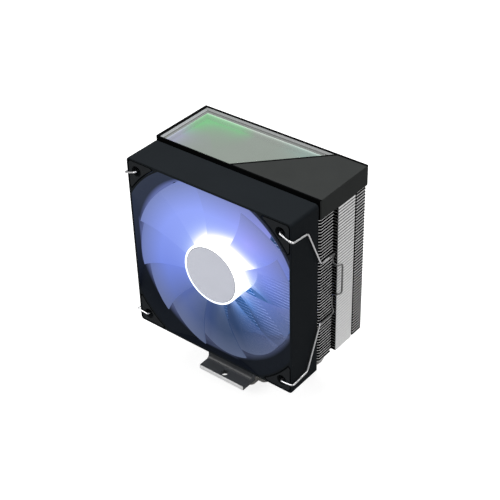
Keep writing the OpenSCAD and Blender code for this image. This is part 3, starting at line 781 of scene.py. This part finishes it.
# %% Colours of the blades
SLATE, DUSK = (0.024, 0.048, 0.115, 1), (0.085, 0.125, 0.330, 1)
BLUE, LAVENDER = (0.160, 0.235, 0.740, 1), (0.275, 0.360, 0.920, 1)
RIM_HAZE, RIM_START, RIM_SHARE = (0.125, 0.150, 0.235, 1), 0.72, 0.62
BRIGHT_SIDE = toward(105)
blade_finish, blade_shader, blade_at = new_finish("lit_blades", specular=0.12)
blade_offset = shaft_offset(blade_at)
blade_radius = vector_math("LENGTH", blade_offset)
blade_turn = remap(facing(blade_offset, BRIGHT_SIDE), -1, 1, 0, 1)
sweep = color_ramp(blade_turn, ((0.0, SLATE), (0.2, DUSK), (0.5, BLUE), (1.0, LAVENDER)))
rim_share = remap(blade_radius, RIM_START * tip_radius, tip_radius, 0.0, RIM_SHARE)
hazed = blend_colors(rim_share, sweep, RIM_HAZE)
print("blade finish:", blade_finish.name)

# %% Glow of the blades
GLOW_TINT, GLOW_CORE = (0.30, 0.48, 1.0, 1), 2.0
GLOW_PLACE, GLOW_RADIUS, GLOW_REACH = Vector((5.5, 0, 9)) * MM, 19.6 * MM, 4.8 * MM
AZURE, AZURE_PLACE, AZURE_REACH = (0.03, 0.20, 0.56, 1), Vector((22, 0, -12.5)) * MM, 6 * MM
VIOLET, VIOLET_PLACE, VIOLET_REACH = (0.105, 0.040, 0.110, 1), toward(50) * 41 * MM, 15 * MM
CLEAR_SIDE, CLEAR_FROM, CLEAR_TO = toward(-18), 0.6, 0.95
BLADE_ALPHA, CLEAR_ALPHA = 0.93, 0.5
to_glow = vector_math("DISTANCE", blade_offset, GLOW_PLACE)
white_glow = fade(minus(to_glow, GLOW_RADIUS), GLOW_REACH)
tinted = blend_colors(white_glow, hazed, GLOW_TINT)
glow_core = math_node("POWER", white_glow, GLOW_CORE)
whitened = blend_colors(glow_core, tinted, WHITE)
azure_glow = spot(blade_offset, AZURE_PLACE, AZURE_REACH)
violet_glow = spot(blade_offset, VIOLET_PLACE, VIOLET_REACH)
with_azure = blend_colors(azure_glow, whitened, AZURE, "ADD")
let_glow(blade_shader, blend_colors(violet_glow, with_azure, VIOLET, "ADD"))
grained(blade_shader, blade_at, (0.014, 0.017, 0.026), 0.42, grain=2200.0,
        depth=0.006 * MM, unevenness=0.3)
to_clear = facing(blade_offset, CLEAR_SIDE)
plug(remap(to_clear, CLEAR_FROM, CLEAR_TO, BLADE_ALPHA, CLEAR_ALPHA), blade_shader.inputs["Alpha"])
print("white glow of radius", in_mm((GLOW_RADIUS,)), "mm round", in_mm(GLOW_PLACE))

# %% Finish for the hub
HUB_SHADE, HUB_GLOW = (0.72, 0.82, 0.95, 1), 1.3
GLOW_SIDE = toward(55)
hub_finish, hub_shader, hub_place = new_finish("lit_hub", specular=0.3)
grained(hub_shader, hub_place, (0.7, 0.72, 0.78), 0.4, grain=2200.0, depth=0.005 * MM,
        unevenness=0.2)
hub_facing = facing(shaft_offset(hub_place), GLOW_SIDE)
hub_turn = remap(hub_facing, -1, 1, 0, 1)
let_glow(hub_shader, blend_colors(hub_turn, HUB_SHADE, WHITE), HUB_GLOW)
cap_finish = moulded_finish("cap_satin", 0.3, color=(0.53, 0.545, 0.61), roughness=0.38, grain=3000.0,
                            depth=0.004 * MM, unevenness=0.12)
cap_edge = moulded_finish("cap_edge", 0.3, color=(0.09, 0.095, 0.10), roughness=0.4, grain=3000.0,
                          depth=0.004 * MM)
print("hub finishes:", hub_finish.name, cap_finish.name, cap_edge.name)

# %% [markdown]
# ## The fan's frame
# The frame is black plastic too, but its duct and its flared intake lie beside the lit blades. The
# wall of the duct takes on their colour, and a little light falls on the flare, mostly at the upper
# left. Soft masks by radius and by depth hold that light inside the duct, so the lip and the rest of
# the frame stay black.

# %% Places in the duct
DUCT_RADIUS, FLARE_RADIUS, INNER_SIDE = 58.3 * MM, 69.4 * MM, 59.1 * MM
FACE_DEPTH, WALL_DEPTH = 0.3 * MM, 24.5 * MM
FLARE_FADE, LIP_DEPTH, LIP_FADE = 2.6 * MM, 4.0 * MM, 1.6 * MM
frame_plastic, frame_shader, frame_place = new_finish("frame_plastic", specular=0.012)
grained(frame_shader, frame_place, (0.0076, 0.0092, 0.0108), 0.5)
frame_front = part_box("fan_frame")[0].y
frame_depth = minus(split_xyz(frame_place)[1], frame_front)
frame_offset = shaft_offset(frame_place)
frame_radius = vector_math("LENGTH", frame_offset)
shaft_x, shaft_z = split_xyz(vector_math("ABSOLUTE", frame_offset))[::2]
out_side = math_node("MAXIMUM", shaft_x, shaft_z)
lit_area = product(
    below(out_side, INNER_SIDE),
    below(frame_radius, FLARE_RADIUS),
    above(frame_depth, FACE_DEPTH),
    below(frame_depth, WALL_DEPTH),
)
past_wall = remap(frame_radius, DUCT_RADIUS, DUCT_RADIUS + FLARE_FADE, 0, 1)
on_lip = remap(frame_depth, LIP_DEPTH, LIP_DEPTH + LIP_FADE, 1, 0)
on_flare = math_node("MAXIMUM", past_wall, on_lip)
print("frame's front at", in_mm((frame_front,)), "mm")

# %% Light in the duct
DUCT_BLUE, DUCT_SLATE = (0.120, 0.150, 0.360, 1), (0.045, 0.055, 0.100, 1)
SPILL, FLARE_DIM = (0.024, 0.031, 0.055, 1), (0.001, 0.0015, 0.004, 1)
SPILL_SIDE, SPILL_FROM, SPILL_FULL = toward(125), 0.1, 0.9
spill_facing = facing(frame_offset, SPILL_SIDE)
spill_share = remap(spill_facing, SPILL_FROM, SPILL_FULL, 0, 1)
wall_share = remap(spill_facing, -SPILL_FULL, SPILL_FULL, 0, 1)
flare_light = blend_colors(spill_share, FLARE_DIM, SPILL)
wall_light = blend_colors(wall_share, DUCT_SLATE, DUCT_BLUE)
frame_light = blend_colors(on_flare, wall_light, flare_light)
duct_light = blend_colors(lit_area, BLACK, frame_light)
print("frame finish:", frame_plastic.name)

# %% [markdown]
# ## Light from the blades
# The lit blades also throw their light backwards, onto the fins and onto the struts of the frame.
# Glowing faces are a poor lamp for a renderer, so a faint round lamp just behind the blades, which
# can't be seen itself, lights the edges of the fins. The fins and struts also get painted light, a soft
# glow, azure below the hub and blue elsewhere, that stands for the light the blades throw on them.

# %% Hang a lamp behind the blades
BLADE_LAMP_GAP, BLADE_LAMP_SIZE, BLADE_LAMP_WATTS = 1.0 * MM, 48 * MM, 0.03
BLADE_LAMP_SIDE = Vector((32, 0, -27)) * MM
BLADE_LAMP_BLUE = (0.42, 0.52, 1.0)
lamp_place = shaft_place + BLADE_LAMP_SIDE
lamp_place.y = blade_high.y + BLADE_LAMP_GAP
bpy.ops.object.light_add(type="AREA", rotation=(math.pi / 2, 0, 0), location=lamp_place)
blade_lamp = bpy.context.object
blade_lamp.name = "blade_lamp"
blade_lamp.data.shape = "DISK"
blade_lamp.data.size = BLADE_LAMP_SIZE
blade_lamp.data.color = BLADE_LAMP_BLUE
blade_lamp.data.energy = BLADE_LAMP_WATTS
blade_lamp.visible_camera = False
print("blade lamp at", in_mm(blade_lamp.location), "mm")

# %% Light the fins and struts behind the blades
PAINTED_LIGHT_BLUE, PAINTED_LIGHT_AZURE = (0.050, 0.100, 0.240, 1), (0.050, 0.210, 0.640, 1)
PAINTED_LIGHT_PLACE, PAINTED_LIGHT_REACH = Vector((6, 0, -24)) * MM, 11 * MM
PAINTED_LIGHT_RADIUS, PAINTED_LIGHT_DEPTH, STRUT_DEPTH = 56 * MM, 4 * MM, 20 * MM
FACES_REAR = 0.5


def painted_blade_light(offset):
    """A mask for what lies behind the blades, and the colour of its light."""
    behind = below(vector_math("LENGTH", offset), PAINTED_LIGHT_RADIUS)
    near = spot(offset, PAINTED_LIGHT_PLACE, PAINTED_LIGHT_REACH)
    return behind, blend_colors(near, PAINTED_LIGHT_BLUE, PAINTED_LIGHT_AZURE)


fins_behind, fin_painted_light = painted_blade_light(shaft_offset(fin_place))
into_fins = minus(fin_y, fin_low.y)
fins_lit = product(fins_behind, fade(into_fins, PAINTED_LIGHT_DEPTH))
# Painted light from the blades on the front of the fins.
let_glow(fin_shader, blend_colors(fins_lit, BLACK, fin_painted_light))
struts_behind, strut_painted_light = painted_blade_light(frame_offset)
not_rear = below(split_normal(frame_place)[1], FACES_REAR)
past_blades = above(frame_depth, STRUT_DEPTH)
on_strut = product(struts_behind, not_rear, past_blades)
# Painted light from the blades on the struts.
let_glow(frame_shader, blend_colors(on_strut, duct_light, strut_painted_light))
print("lit as far as", in_mm((PAINTED_LIGHT_RADIUS,)), "mm from the shaft")

# %% [markdown]
# ## The lit mirror on top
# A half mirror lies over a shallow box with a full mirror at its bottom. A lit line runs along the
# left and the rear wall of the box, green at the corner, violet to the front and teal to the right,
# and its light spreads over the lower mirror. The pane is thin, so plain see-through grey with a
# gloss is a closer match to a half mirror than thick glass would be.

# %% Places in the lit box
guide_low, guide_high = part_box("light_guide")
LINE_GREEN, LINE_VIOLET = (0.03, 0.85, 0.14, 1), (0.46, 0.46, 0.85, 1)
LINE_TEAL, LINE_PALE = (0.22, 0.48, 0.42, 1), (0.24, 0.31, 0.25, 1)
LEFT_STOPS = ((0.35, LINE_VIOLET), (0.7, LINE_GREEN))
REAR_STOPS = ((0.3, LINE_GREEN), (0.42, LINE_PALE), (0.6, LINE_PALE), (0.8, LINE_TEAL))


def line_color(place):
    """How far a point lies from the left and rear wall, and the colour of the nearer lit line."""
    x, y = split_xyz(place)[:2]
    along_left = remap(y, guide_low.y, guide_high.y, 0, 1)
    along_rear = remap(x, guide_low.x, guide_high.x, 0, 1)
    left_ramp = color_ramp(along_left, LEFT_STOPS)
    rear_ramp = color_ramp(along_rear, REAR_STOPS)
    from_left = minus(x, guide_low.x)
    from_rear = minus(guide_high.y, y)
    nearer_left = below(from_left, from_rear)
    return from_left, from_rear, blend_colors(nearer_left, rear_ramp, left_ramp)


print("lit line at", in_mm((guide_high.z,)), "mm")

# %% Finish for the light guide
LINE_WIDTH, GUIDE_DIM, LINE_BRIGHT, GUIDE_GLOW = 0.8 * MM, 0.4, 1.25, 1.3
LINE_PEAK, PEAK_SHARE = (0.80, 0.92, 0.84, 1), 0.6
guide_finish, guide_shader, guide_place = new_finish("lit_line", specular=0.3)
guide_color = line_color(guide_place)[2]
below_top = minus(guide_high.z, split_xyz(guide_place)[2])
on_line = fade(below_top, LINE_WIDTH)
line_light = remap(on_line, 0, 1, GUIDE_DIM, LINE_BRIGHT)
pale_line = blend_colors(product(on_line, PEAK_SHARE), guide_color, LINE_PEAK)
let_glow(guide_shader, dimmed(pale_line, line_light), GUIDE_GLOW)
grained(guide_shader, guide_place, (0.3, 0.32, 0.3), 0.5, grain=1500.0,
        depth=0.004 * MM, unevenness=0.2)
print("guide finish:", guide_finish.name)

# %% Finish for the lower mirror
SPREAD_LEFT, SPREAD_REAR = 6.5 * MM, 6 * MM
MIRROR_PAINTED_REFLECTION = (0.235, 0.31, 0.245, 1)
mirror_finish, mirror_shader, mirror_place = new_finish("lower_mirror", specular=0.05)
mirror_left, mirror_rear, mirror_color = line_color(mirror_place)
edge_glow = math_node("ADD", fade(mirror_left, SPREAD_LEFT), fade(mirror_rear, SPREAD_REAR), clamp=True)
# Away from the lit line the lower mirror glows grey, a painted reflection of the studio.
let_glow(mirror_shader, blend_colors(edge_glow, MIRROR_PAINTED_REFLECTION, mirror_color))
silver = use_group(streak_group, Vector=mirror_place, Color=(0.05, 0.055, 0.05, 1),
                   Streaks=(30, 30, 30), Roughness=0.25, Spread=0.05)
feed(silver, mirror_shader)
print("mirror finish:", mirror_finish.name)

# %% Finish for the pane
PANE_ALPHA, PANE_ROUGHNESS = 0.4, 0.12
BORDER = 2.6 * MM
BORDER_LEFT, BORDER_REAR = (0.52, 0.54, 0.55, 1), (0.40, 0.41, 0.41, 1)
pane_low, pane_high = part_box("mirror_glass")
pane_finish, pane_shader, pane_place = new_finish("half_mirror", specular=0.15)
pane_film = use_group(grain_group, Vector=pane_place, Color=(0.19, 0.20, 0.19, 1),
                      Grain_per_metre=400.0, Unevenness=0.12)
pane_x, pane_y = split_xyz(pane_place)[:2]
by_left = below(pane_x, pane_low.x + BORDER)
by_rear = above(pane_y, pane_high.y - BORDER)
on_border = math_node("MAXIMUM", by_left, by_rear)
border_color = blend_colors(by_rear, BORDER_LEFT, BORDER_REAR)
plug(blend_colors(on_border, pane_film["Color"], border_color), pane_shader.inputs["Base Color"])
pane_shader.inputs["Roughness"].default_value = PANE_ROUGHNESS
pane_shader.inputs["Alpha"].default_value = PANE_ALPHA
print("pane finish:", pane_finish.name)

# %% [markdown]
# ## Moulded and stamped pieces with soft edges
# No real edge is perfectly sharp: a mould leaves a small round, and a stamped or sawn edge is broken
# by hand. The edges could be drawn by the shading alone, but then the outline would stay sharp. Each
# visible solid is therefore copied, welded and bevelled by its own small width. A bevel stays as
# narrow as the shortest edge it meets, so on the frame only the outline is rounded, and on the bar
# only the ends.

# %% Soften the solids
FRAME_WALL = 59.2 * MM


def frame_outline(co):
    """True on the outer walls of the fan's frame."""
    return max(abs(co.x - shaft_place.x), abs(co.z - shaft_place.z)) > FRAME_WALL


def bar_ends(co):
    return abs(co.y) > bar_high.y - BAR_EDGE


SOFT_PIECES = {
    "fan_frame": (0.45 * MM, [frame_plastic], frame_outline),
    # The pads' rounded edges get the near-black painted shade of their seams.
    "front_pads": (0.35 * MM, [pad_rubber, pad_seam_shade], anywhere),
    "rear_pads": (0.35 * MM, [pad_rubber, pad_seam_shade], anywhere),
    "mirror_glass": (0.25 * MM, [pane_finish], anywhere),
    "mounting_bar": (0.15 * MM, [bar_finish], bar_ends),
    "base_plate": (0.3 * MM, [metals["plate_nickel"]], anywhere),
    "base_block": (0.3 * MM, [metals["block_metal"]], anywhere),
    "bar_screws": (0.2 * MM, [metals["screw_steel"]], anywhere),
}
for soft_node, (soft_width, soft_finishes, soft_place) in SOFT_PIECES.items():
    soft_piece = welded_copy(soft_node, soft_node + "_soft")
    soften(soft_piece, soft_width, soft_finishes, soft_place)
    smooth(soft_piece)
    stand_for(soft_piece, soft_node, "root")

# %% [markdown]
# ## The cover's painted shade
# The cover is one black moulding whose top edge is rounded along its outline. Its front wall stands
# close behind the fan and lies in its shade, and so does the narrow rim around the pane. Cuts along
# the pane's sides, with a wider one along the slanting side, part the rim from the rest of the top,
# and then the rim and the front wall get a near-black finish as painted shade.

# %% Round the cover and cut its rim
COVER_ROUND, COVER_SIDE, COVER_FACE = 0.45 * MM, 60.0 * MM, 22.9 * MM
SLANT_RIM = 1.6 * MM


def cover_outline(co):
    """True on the outer edge of the cover's top."""
    on_top = co.z > pane_high.z - SKIN
    return on_top and (abs(co.x) > COVER_SIDE or abs(co.y) > COVER_FACE)


cover = welded_copy("top_cover", "top_cover_soft")
soften(cover, COVER_ROUND, [cover_plastic], cover_outline)
cover.data.materials.append(cover_painted_shade)
pane_front = [v.co for v in nodes["mirror_glass"].data.vertices if v.co.y < pane_low.y + WELD]
slant_start = max(pane_front, key=lambda co: co.x)
slant_run = Vector((pane_high.x - slant_start.x, pane_high.y - slant_start.y, 0)).normalized()
slant_out = Vector((slant_run.y, -slant_run.x, 0))
RIM_CUTS = (
    ((pane_low.x, 0, 0), (1, 0, 0)),
    ((0, pane_low.y, 0), (0, 1, 0)),
    ((0, pane_high.y, 0), (0, 1, 0)),
    (slant_start + slant_out * SLANT_RIM, slant_out),
)
for cut_place, cut_normal in RIM_CUTS:
    pick_all(cover)
    bpy.ops.mesh.bisect(plane_co=cut_place, plane_no=cut_normal)
    leave_edit()
print("faces on the cover:", len(cover.data.polygons))

# %% Darken the front wall and the rim
STRAIGHT, UPWARD = 0.9, 0.1


def looks_ahead(centre, normal):
    return normal.y < -STRAIGHT


def is_dark(centre, normal):
    """True for the front wall, and for the top beside the pane."""
    beside_left = centre.x < pane_low.x
    beside_front = centre.y < pane_low.y
    beside_rear = centre.y > pane_high.y
    beside_slant = (centre - slant_start).dot(slant_out) < SLANT_RIM
    on_rim = beside_left or beside_front or beside_rear or beside_slant
    return looks_ahead(centre, normal) or (normal.z > UPWARD and on_rim)


paint_faces(cover, is_dark, 1)
smooth(cover)
stand_for(cover, "top_cover", "root")

# %% [markdown]
# ## Round pieces
# The heat pipes and the wire clips have no sharp edges along their length, so they need no bevel.
# Their facets are welded and shaded smooth, and the thin wire is rounded once more by subdivision.
# Bright wire would glare against the fins, but its loop in the groove and its lower run lie in shade
# and mirror dark surroundings, so they get a darker steel as painted shade and painted reflection.

# %% Smooth the heat pipes
for number in range(1, 5):
    pipe_node = f"heat_pipe_{number}"
    pipe = welded_copy(pipe_node, pipe_node + "_smooth")
    pipe.data.materials.append(metals["pipe_nickel"])
    smooth(pipe)
    stand_for(pipe, pipe_node, "root")

# %% Round the wire clips
GROOVE_FRONT, RUN_FRONT = -12.4 * MM, -21.5 * MM


def lies_low(centre, normal):
    """True for the wire in the groove, and for its lower run along the fins."""
    return centre.y > GROOVE_FRONT or (centre.y > RUN_FRONT and centre.z < shaft_place.z)


for clip_node in ("clip_left", "clip_right"):
    clip = welded_copy(clip_node, clip_node + "_wire")
    rounder = clip.modifiers.new("rounder", "SUBSURF")
    rounder.levels = rounder.render_levels = 1
    bpy.ops.object.modifier_apply(modifier=rounder.name)
    clip.data.materials.append(metals["clip_steel"])
    clip.data.materials.append(metals["shaded_wire_steel"])
    smooth(clip)
    # Painted shade on the wire in the groove and on its lower run.
    paint_faces(clip, lies_low, 1)
    stand_for(clip, clip_node, clip_node)

# %% [markdown]
# ## The impeller
# The hub is a cup: a cylinder whose front face is inset and sunk for the cap, and whose rear face is
# inset and pushed in to leave a thin wall. A blade starts as a grid. One side of the grid follows the
# hub and the other the duct, and the grid is twisted so that the blade is steep at the hub and flat at
# its tip. It is then given its thickness, copied round the shaft and joined to the hub.

# %% Make the hub
HUB_SIDES = 128
CAP_SEAT, HUB_WALL, HUB_ROUND = 0.8 * MM, 1.5 * MM, 0.5 * MM
hub_front, hub_rear = blade_low.y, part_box("rotor_cup")[1].y
hub_plate = hub_front + CAP_SEAT + HUB_WALL


def add_drum(name, radius, depth, centre):
    """Adds a cylinder along the shaft, with its place in its mesh."""
    bpy.ops.mesh.primitive_cylinder_add(vertices=HUB_SIDES, radius=radius, depth=depth, location=centre,
                                        rotation=(math.pi / 2, 0, 0))
    drum = bpy.context.object
    drum.name = name
    bpy.ops.object.transform_apply(location=True, rotation=True, scale=True)
    return drum


def looks_back(centre, normal):
    return normal.y > STRAIGHT


def sink(piece, wanted, rim, depth):
    """Insets one end of a drum and pushes what is inside the rim along the shaft."""
    pick_faces(piece, wanted)
    bpy.ops.mesh.inset(thickness=rim)
    bpy.ops.mesh.extrude_region_move(TRANSFORM_OT_translate={"value": (0, depth, 0)})
    leave_edit()


def hub_edge(co):
    """True on the round front edge of the hub."""
    return co.y < hub_front + WELD and (co - shaft_place).xz.length > hub_radius - WELD


hub_centre = (shaft_place.x, (hub_front + hub_rear) / 2, shaft_place.z)
hub = add_drum("impeller_moulding", hub_radius, hub_rear - hub_front, hub_centre)
sink(hub, looks_ahead, HUB_RIM, CAP_SEAT)
sink(hub, looks_back, HUB_WALL, hub_plate - hub_rear)
pick_sharp_edges(hub, hub_edge)
bpy.ops.mesh.bevel(offset=HUB_ROUND, segments=4, affect="EDGES")
leave_edit()
hub.data.materials.append(hub_finish)
smooth(hub)
print("hub faces:", len(hub.data.polygons))

# %% Plan one blade
BLADE_COUNT = 11
BLADE_THICKNESS, ROOT_SINK, BLADE_INSET = 1.3 * MM, 0.6 * MM, 1.4 * MM
ROOT_SPAN, TIP_SPAN = math.radians(58), math.radians(50)
BLADE_LEAN, BLADE_HOLLOW = math.radians(8), 0.16
TIP_DEPTH = 10.5 * MM
root_radius = hub_radius - ROOT_SINK
blade_front = hub_front + BLADE_INSET
root_depth = hub_rear - blade_front - BLADE_THICKNESS


def blade_point(u, v):
    """A place on the blade's middle: u from root to tip, v from leading to trailing edge."""
    radius = root_radius + u * (tip_radius - root_radius)
    span = ROOT_SPAN + u * (TIP_SPAN - ROOT_SPAN)
    turn = span * (v - 0.5) - BLADE_LEAN * u * u
    depth = root_depth + u * (TIP_DEPTH - root_depth)
    back = blade_front + depth * (v - BLADE_HOLLOW * (1 - (2 * v - 1) ** 2))
    across, along = radius * math.cos(turn), radius * math.sin(turn)
    return Vector((shaft_place.x + across, back, shaft_place.z - along))


print("blade depth at root and tip:", in_mm((root_depth, TIP_DEPTH)), "mm")

# %% Shape one blade
BLADE_ROWS, BLADE_STEPS = 22, 28
bpy.ops.mesh.primitive_grid_add(x_subdivisions=BLADE_ROWS, y_subdivisions=BLADE_STEPS, size=1)
blade = bpy.context.object
blade.name = "blade"
thickness = blade.vertex_groups.new(name="thickness")
for vertex in blade.data.vertices:
    u, v = vertex.co.x + 0.5, vertex.co.y + 0.5
    vertex.co = blade_point(u, v)
    thickness.add([vertex.index], (1 + math.sin(math.pi * v)) / 2, "REPLACE")
solid = blade.modifiers.new("thickness", "SOLIDIFY")
solid.thickness = BLADE_THICKNESS
solid.offset = 0
solid.vertex_group = "thickness"
bpy.ops.object.modifier_apply(modifier=solid.name)
pick_all(blade)
bpy.ops.mesh.normals_make_consistent(inside=False)
leave_edit()
blade.data.materials.append(blade_finish)
bpy.ops.object.shade_smooth_by_angle(angle=SMOOTH)
print("blade faces:", len(blade.data.polygons))

# %% Copy the blades round the shaft
blades = [blade]
for place_number in range(1, BLADE_COUNT):
    only(blade)
    bpy.ops.object.duplicate()
    bpy.ops.transform.rotate(value=math.tau * place_number / BLADE_COUNT, orient_axis="Y",
                             center_override=shaft_place)
    bpy.ops.object.transform_apply(location=True, rotation=True, scale=True)
    blades.append(bpy.context.object)
only(hub)
for one_blade in blades:
    one_blade.select_set(True)
bpy.ops.object.join()
bpy.ops.object.transform_apply(location=True, rotation=True, scale=True)
stand_for(hub, "impeller", "impeller")

# %% [markdown]
# ## The hub's cap
# A thin satin disc closes the hub. A plain disc would look cut out of paper, so its face is dished a
# little by insets that each go a step deeper, and its edge is rounded and darker than its face.

# %% Make the cap
CAP_ROUND, CAP_DISH, CAP_RINGS = 0.4 * MM, 0.25 * MM, 4
cap = add_drum("hub_cap_disc", cap_high.x, cap_high.y - cap_low.y, (cap_low + cap_high) / 2)
pick_faces(cap, looks_ahead)
for _ in range(CAP_RINGS):
    bpy.ops.mesh.inset(thickness=cap_high.x / (CAP_RINGS + 1), depth=-CAP_DISH / CAP_RINGS)
leave_edit()
soften(cap, CAP_ROUND, [cap_finish, cap_edge])
smooth(cap)
stand_for(cap, "hub_cap", "impeller")

# %% [markdown]
# ## Solids that keep their shape
# The fins are flat sheet and the inner pieces hardly show, so their solids stay as they are. Each
# still gets its own finish, because it shows when the cooler is turned or taken apart.

# %% Finishes for the solids that stay
IVORY = (0.75, 0.75, 0.68)
led_board = moulded_finish("led_board", 0.3, color=IVORY, roughness=0.5)
bearing_plastic = moulded_finish("bearing_plastic", 0.4, color=IVORY, roughness=0.45)
board_green = moulded_finish("board_green", 0.5, color=(0.02, 0.11, 0.05), roughness=0.35, grain=900.0)
led_body = moulded_finish("led_body", 0.5, color=(0.85, 0.85, 0.75), roughness=0.25)
magnet_black = moulded_finish("magnet_black", 0.4, color=(0.035, 0.035, 0.04), roughness=0.6)
KEPT = {
    "fin_stack": fin_finish, "mirror_back": mirror_finish, "light_guide": guide_finish,
    "led_strip": led_board, "bearing_sleeve": metals["bronze"], "thrust_pad": bearing_plastic,
    "stator_core": metals["core_steel"], "stator_coils": metals["coil_copper"], "fan_board": board_green,
    "hub_leds": led_body, "rotor_cup": metals["core_steel"], "magnet_ring": magnet_black,
    "shaft": metals["screw_steel"], "retaining_ring": bearing_plastic,
}
for kept_node, kept_finish in KEPT.items():
    nodes[kept_node].data.materials.clear()
    nodes[kept_node].data.materials.append(kept_finish)
print("solids kept:", len(KEPT))
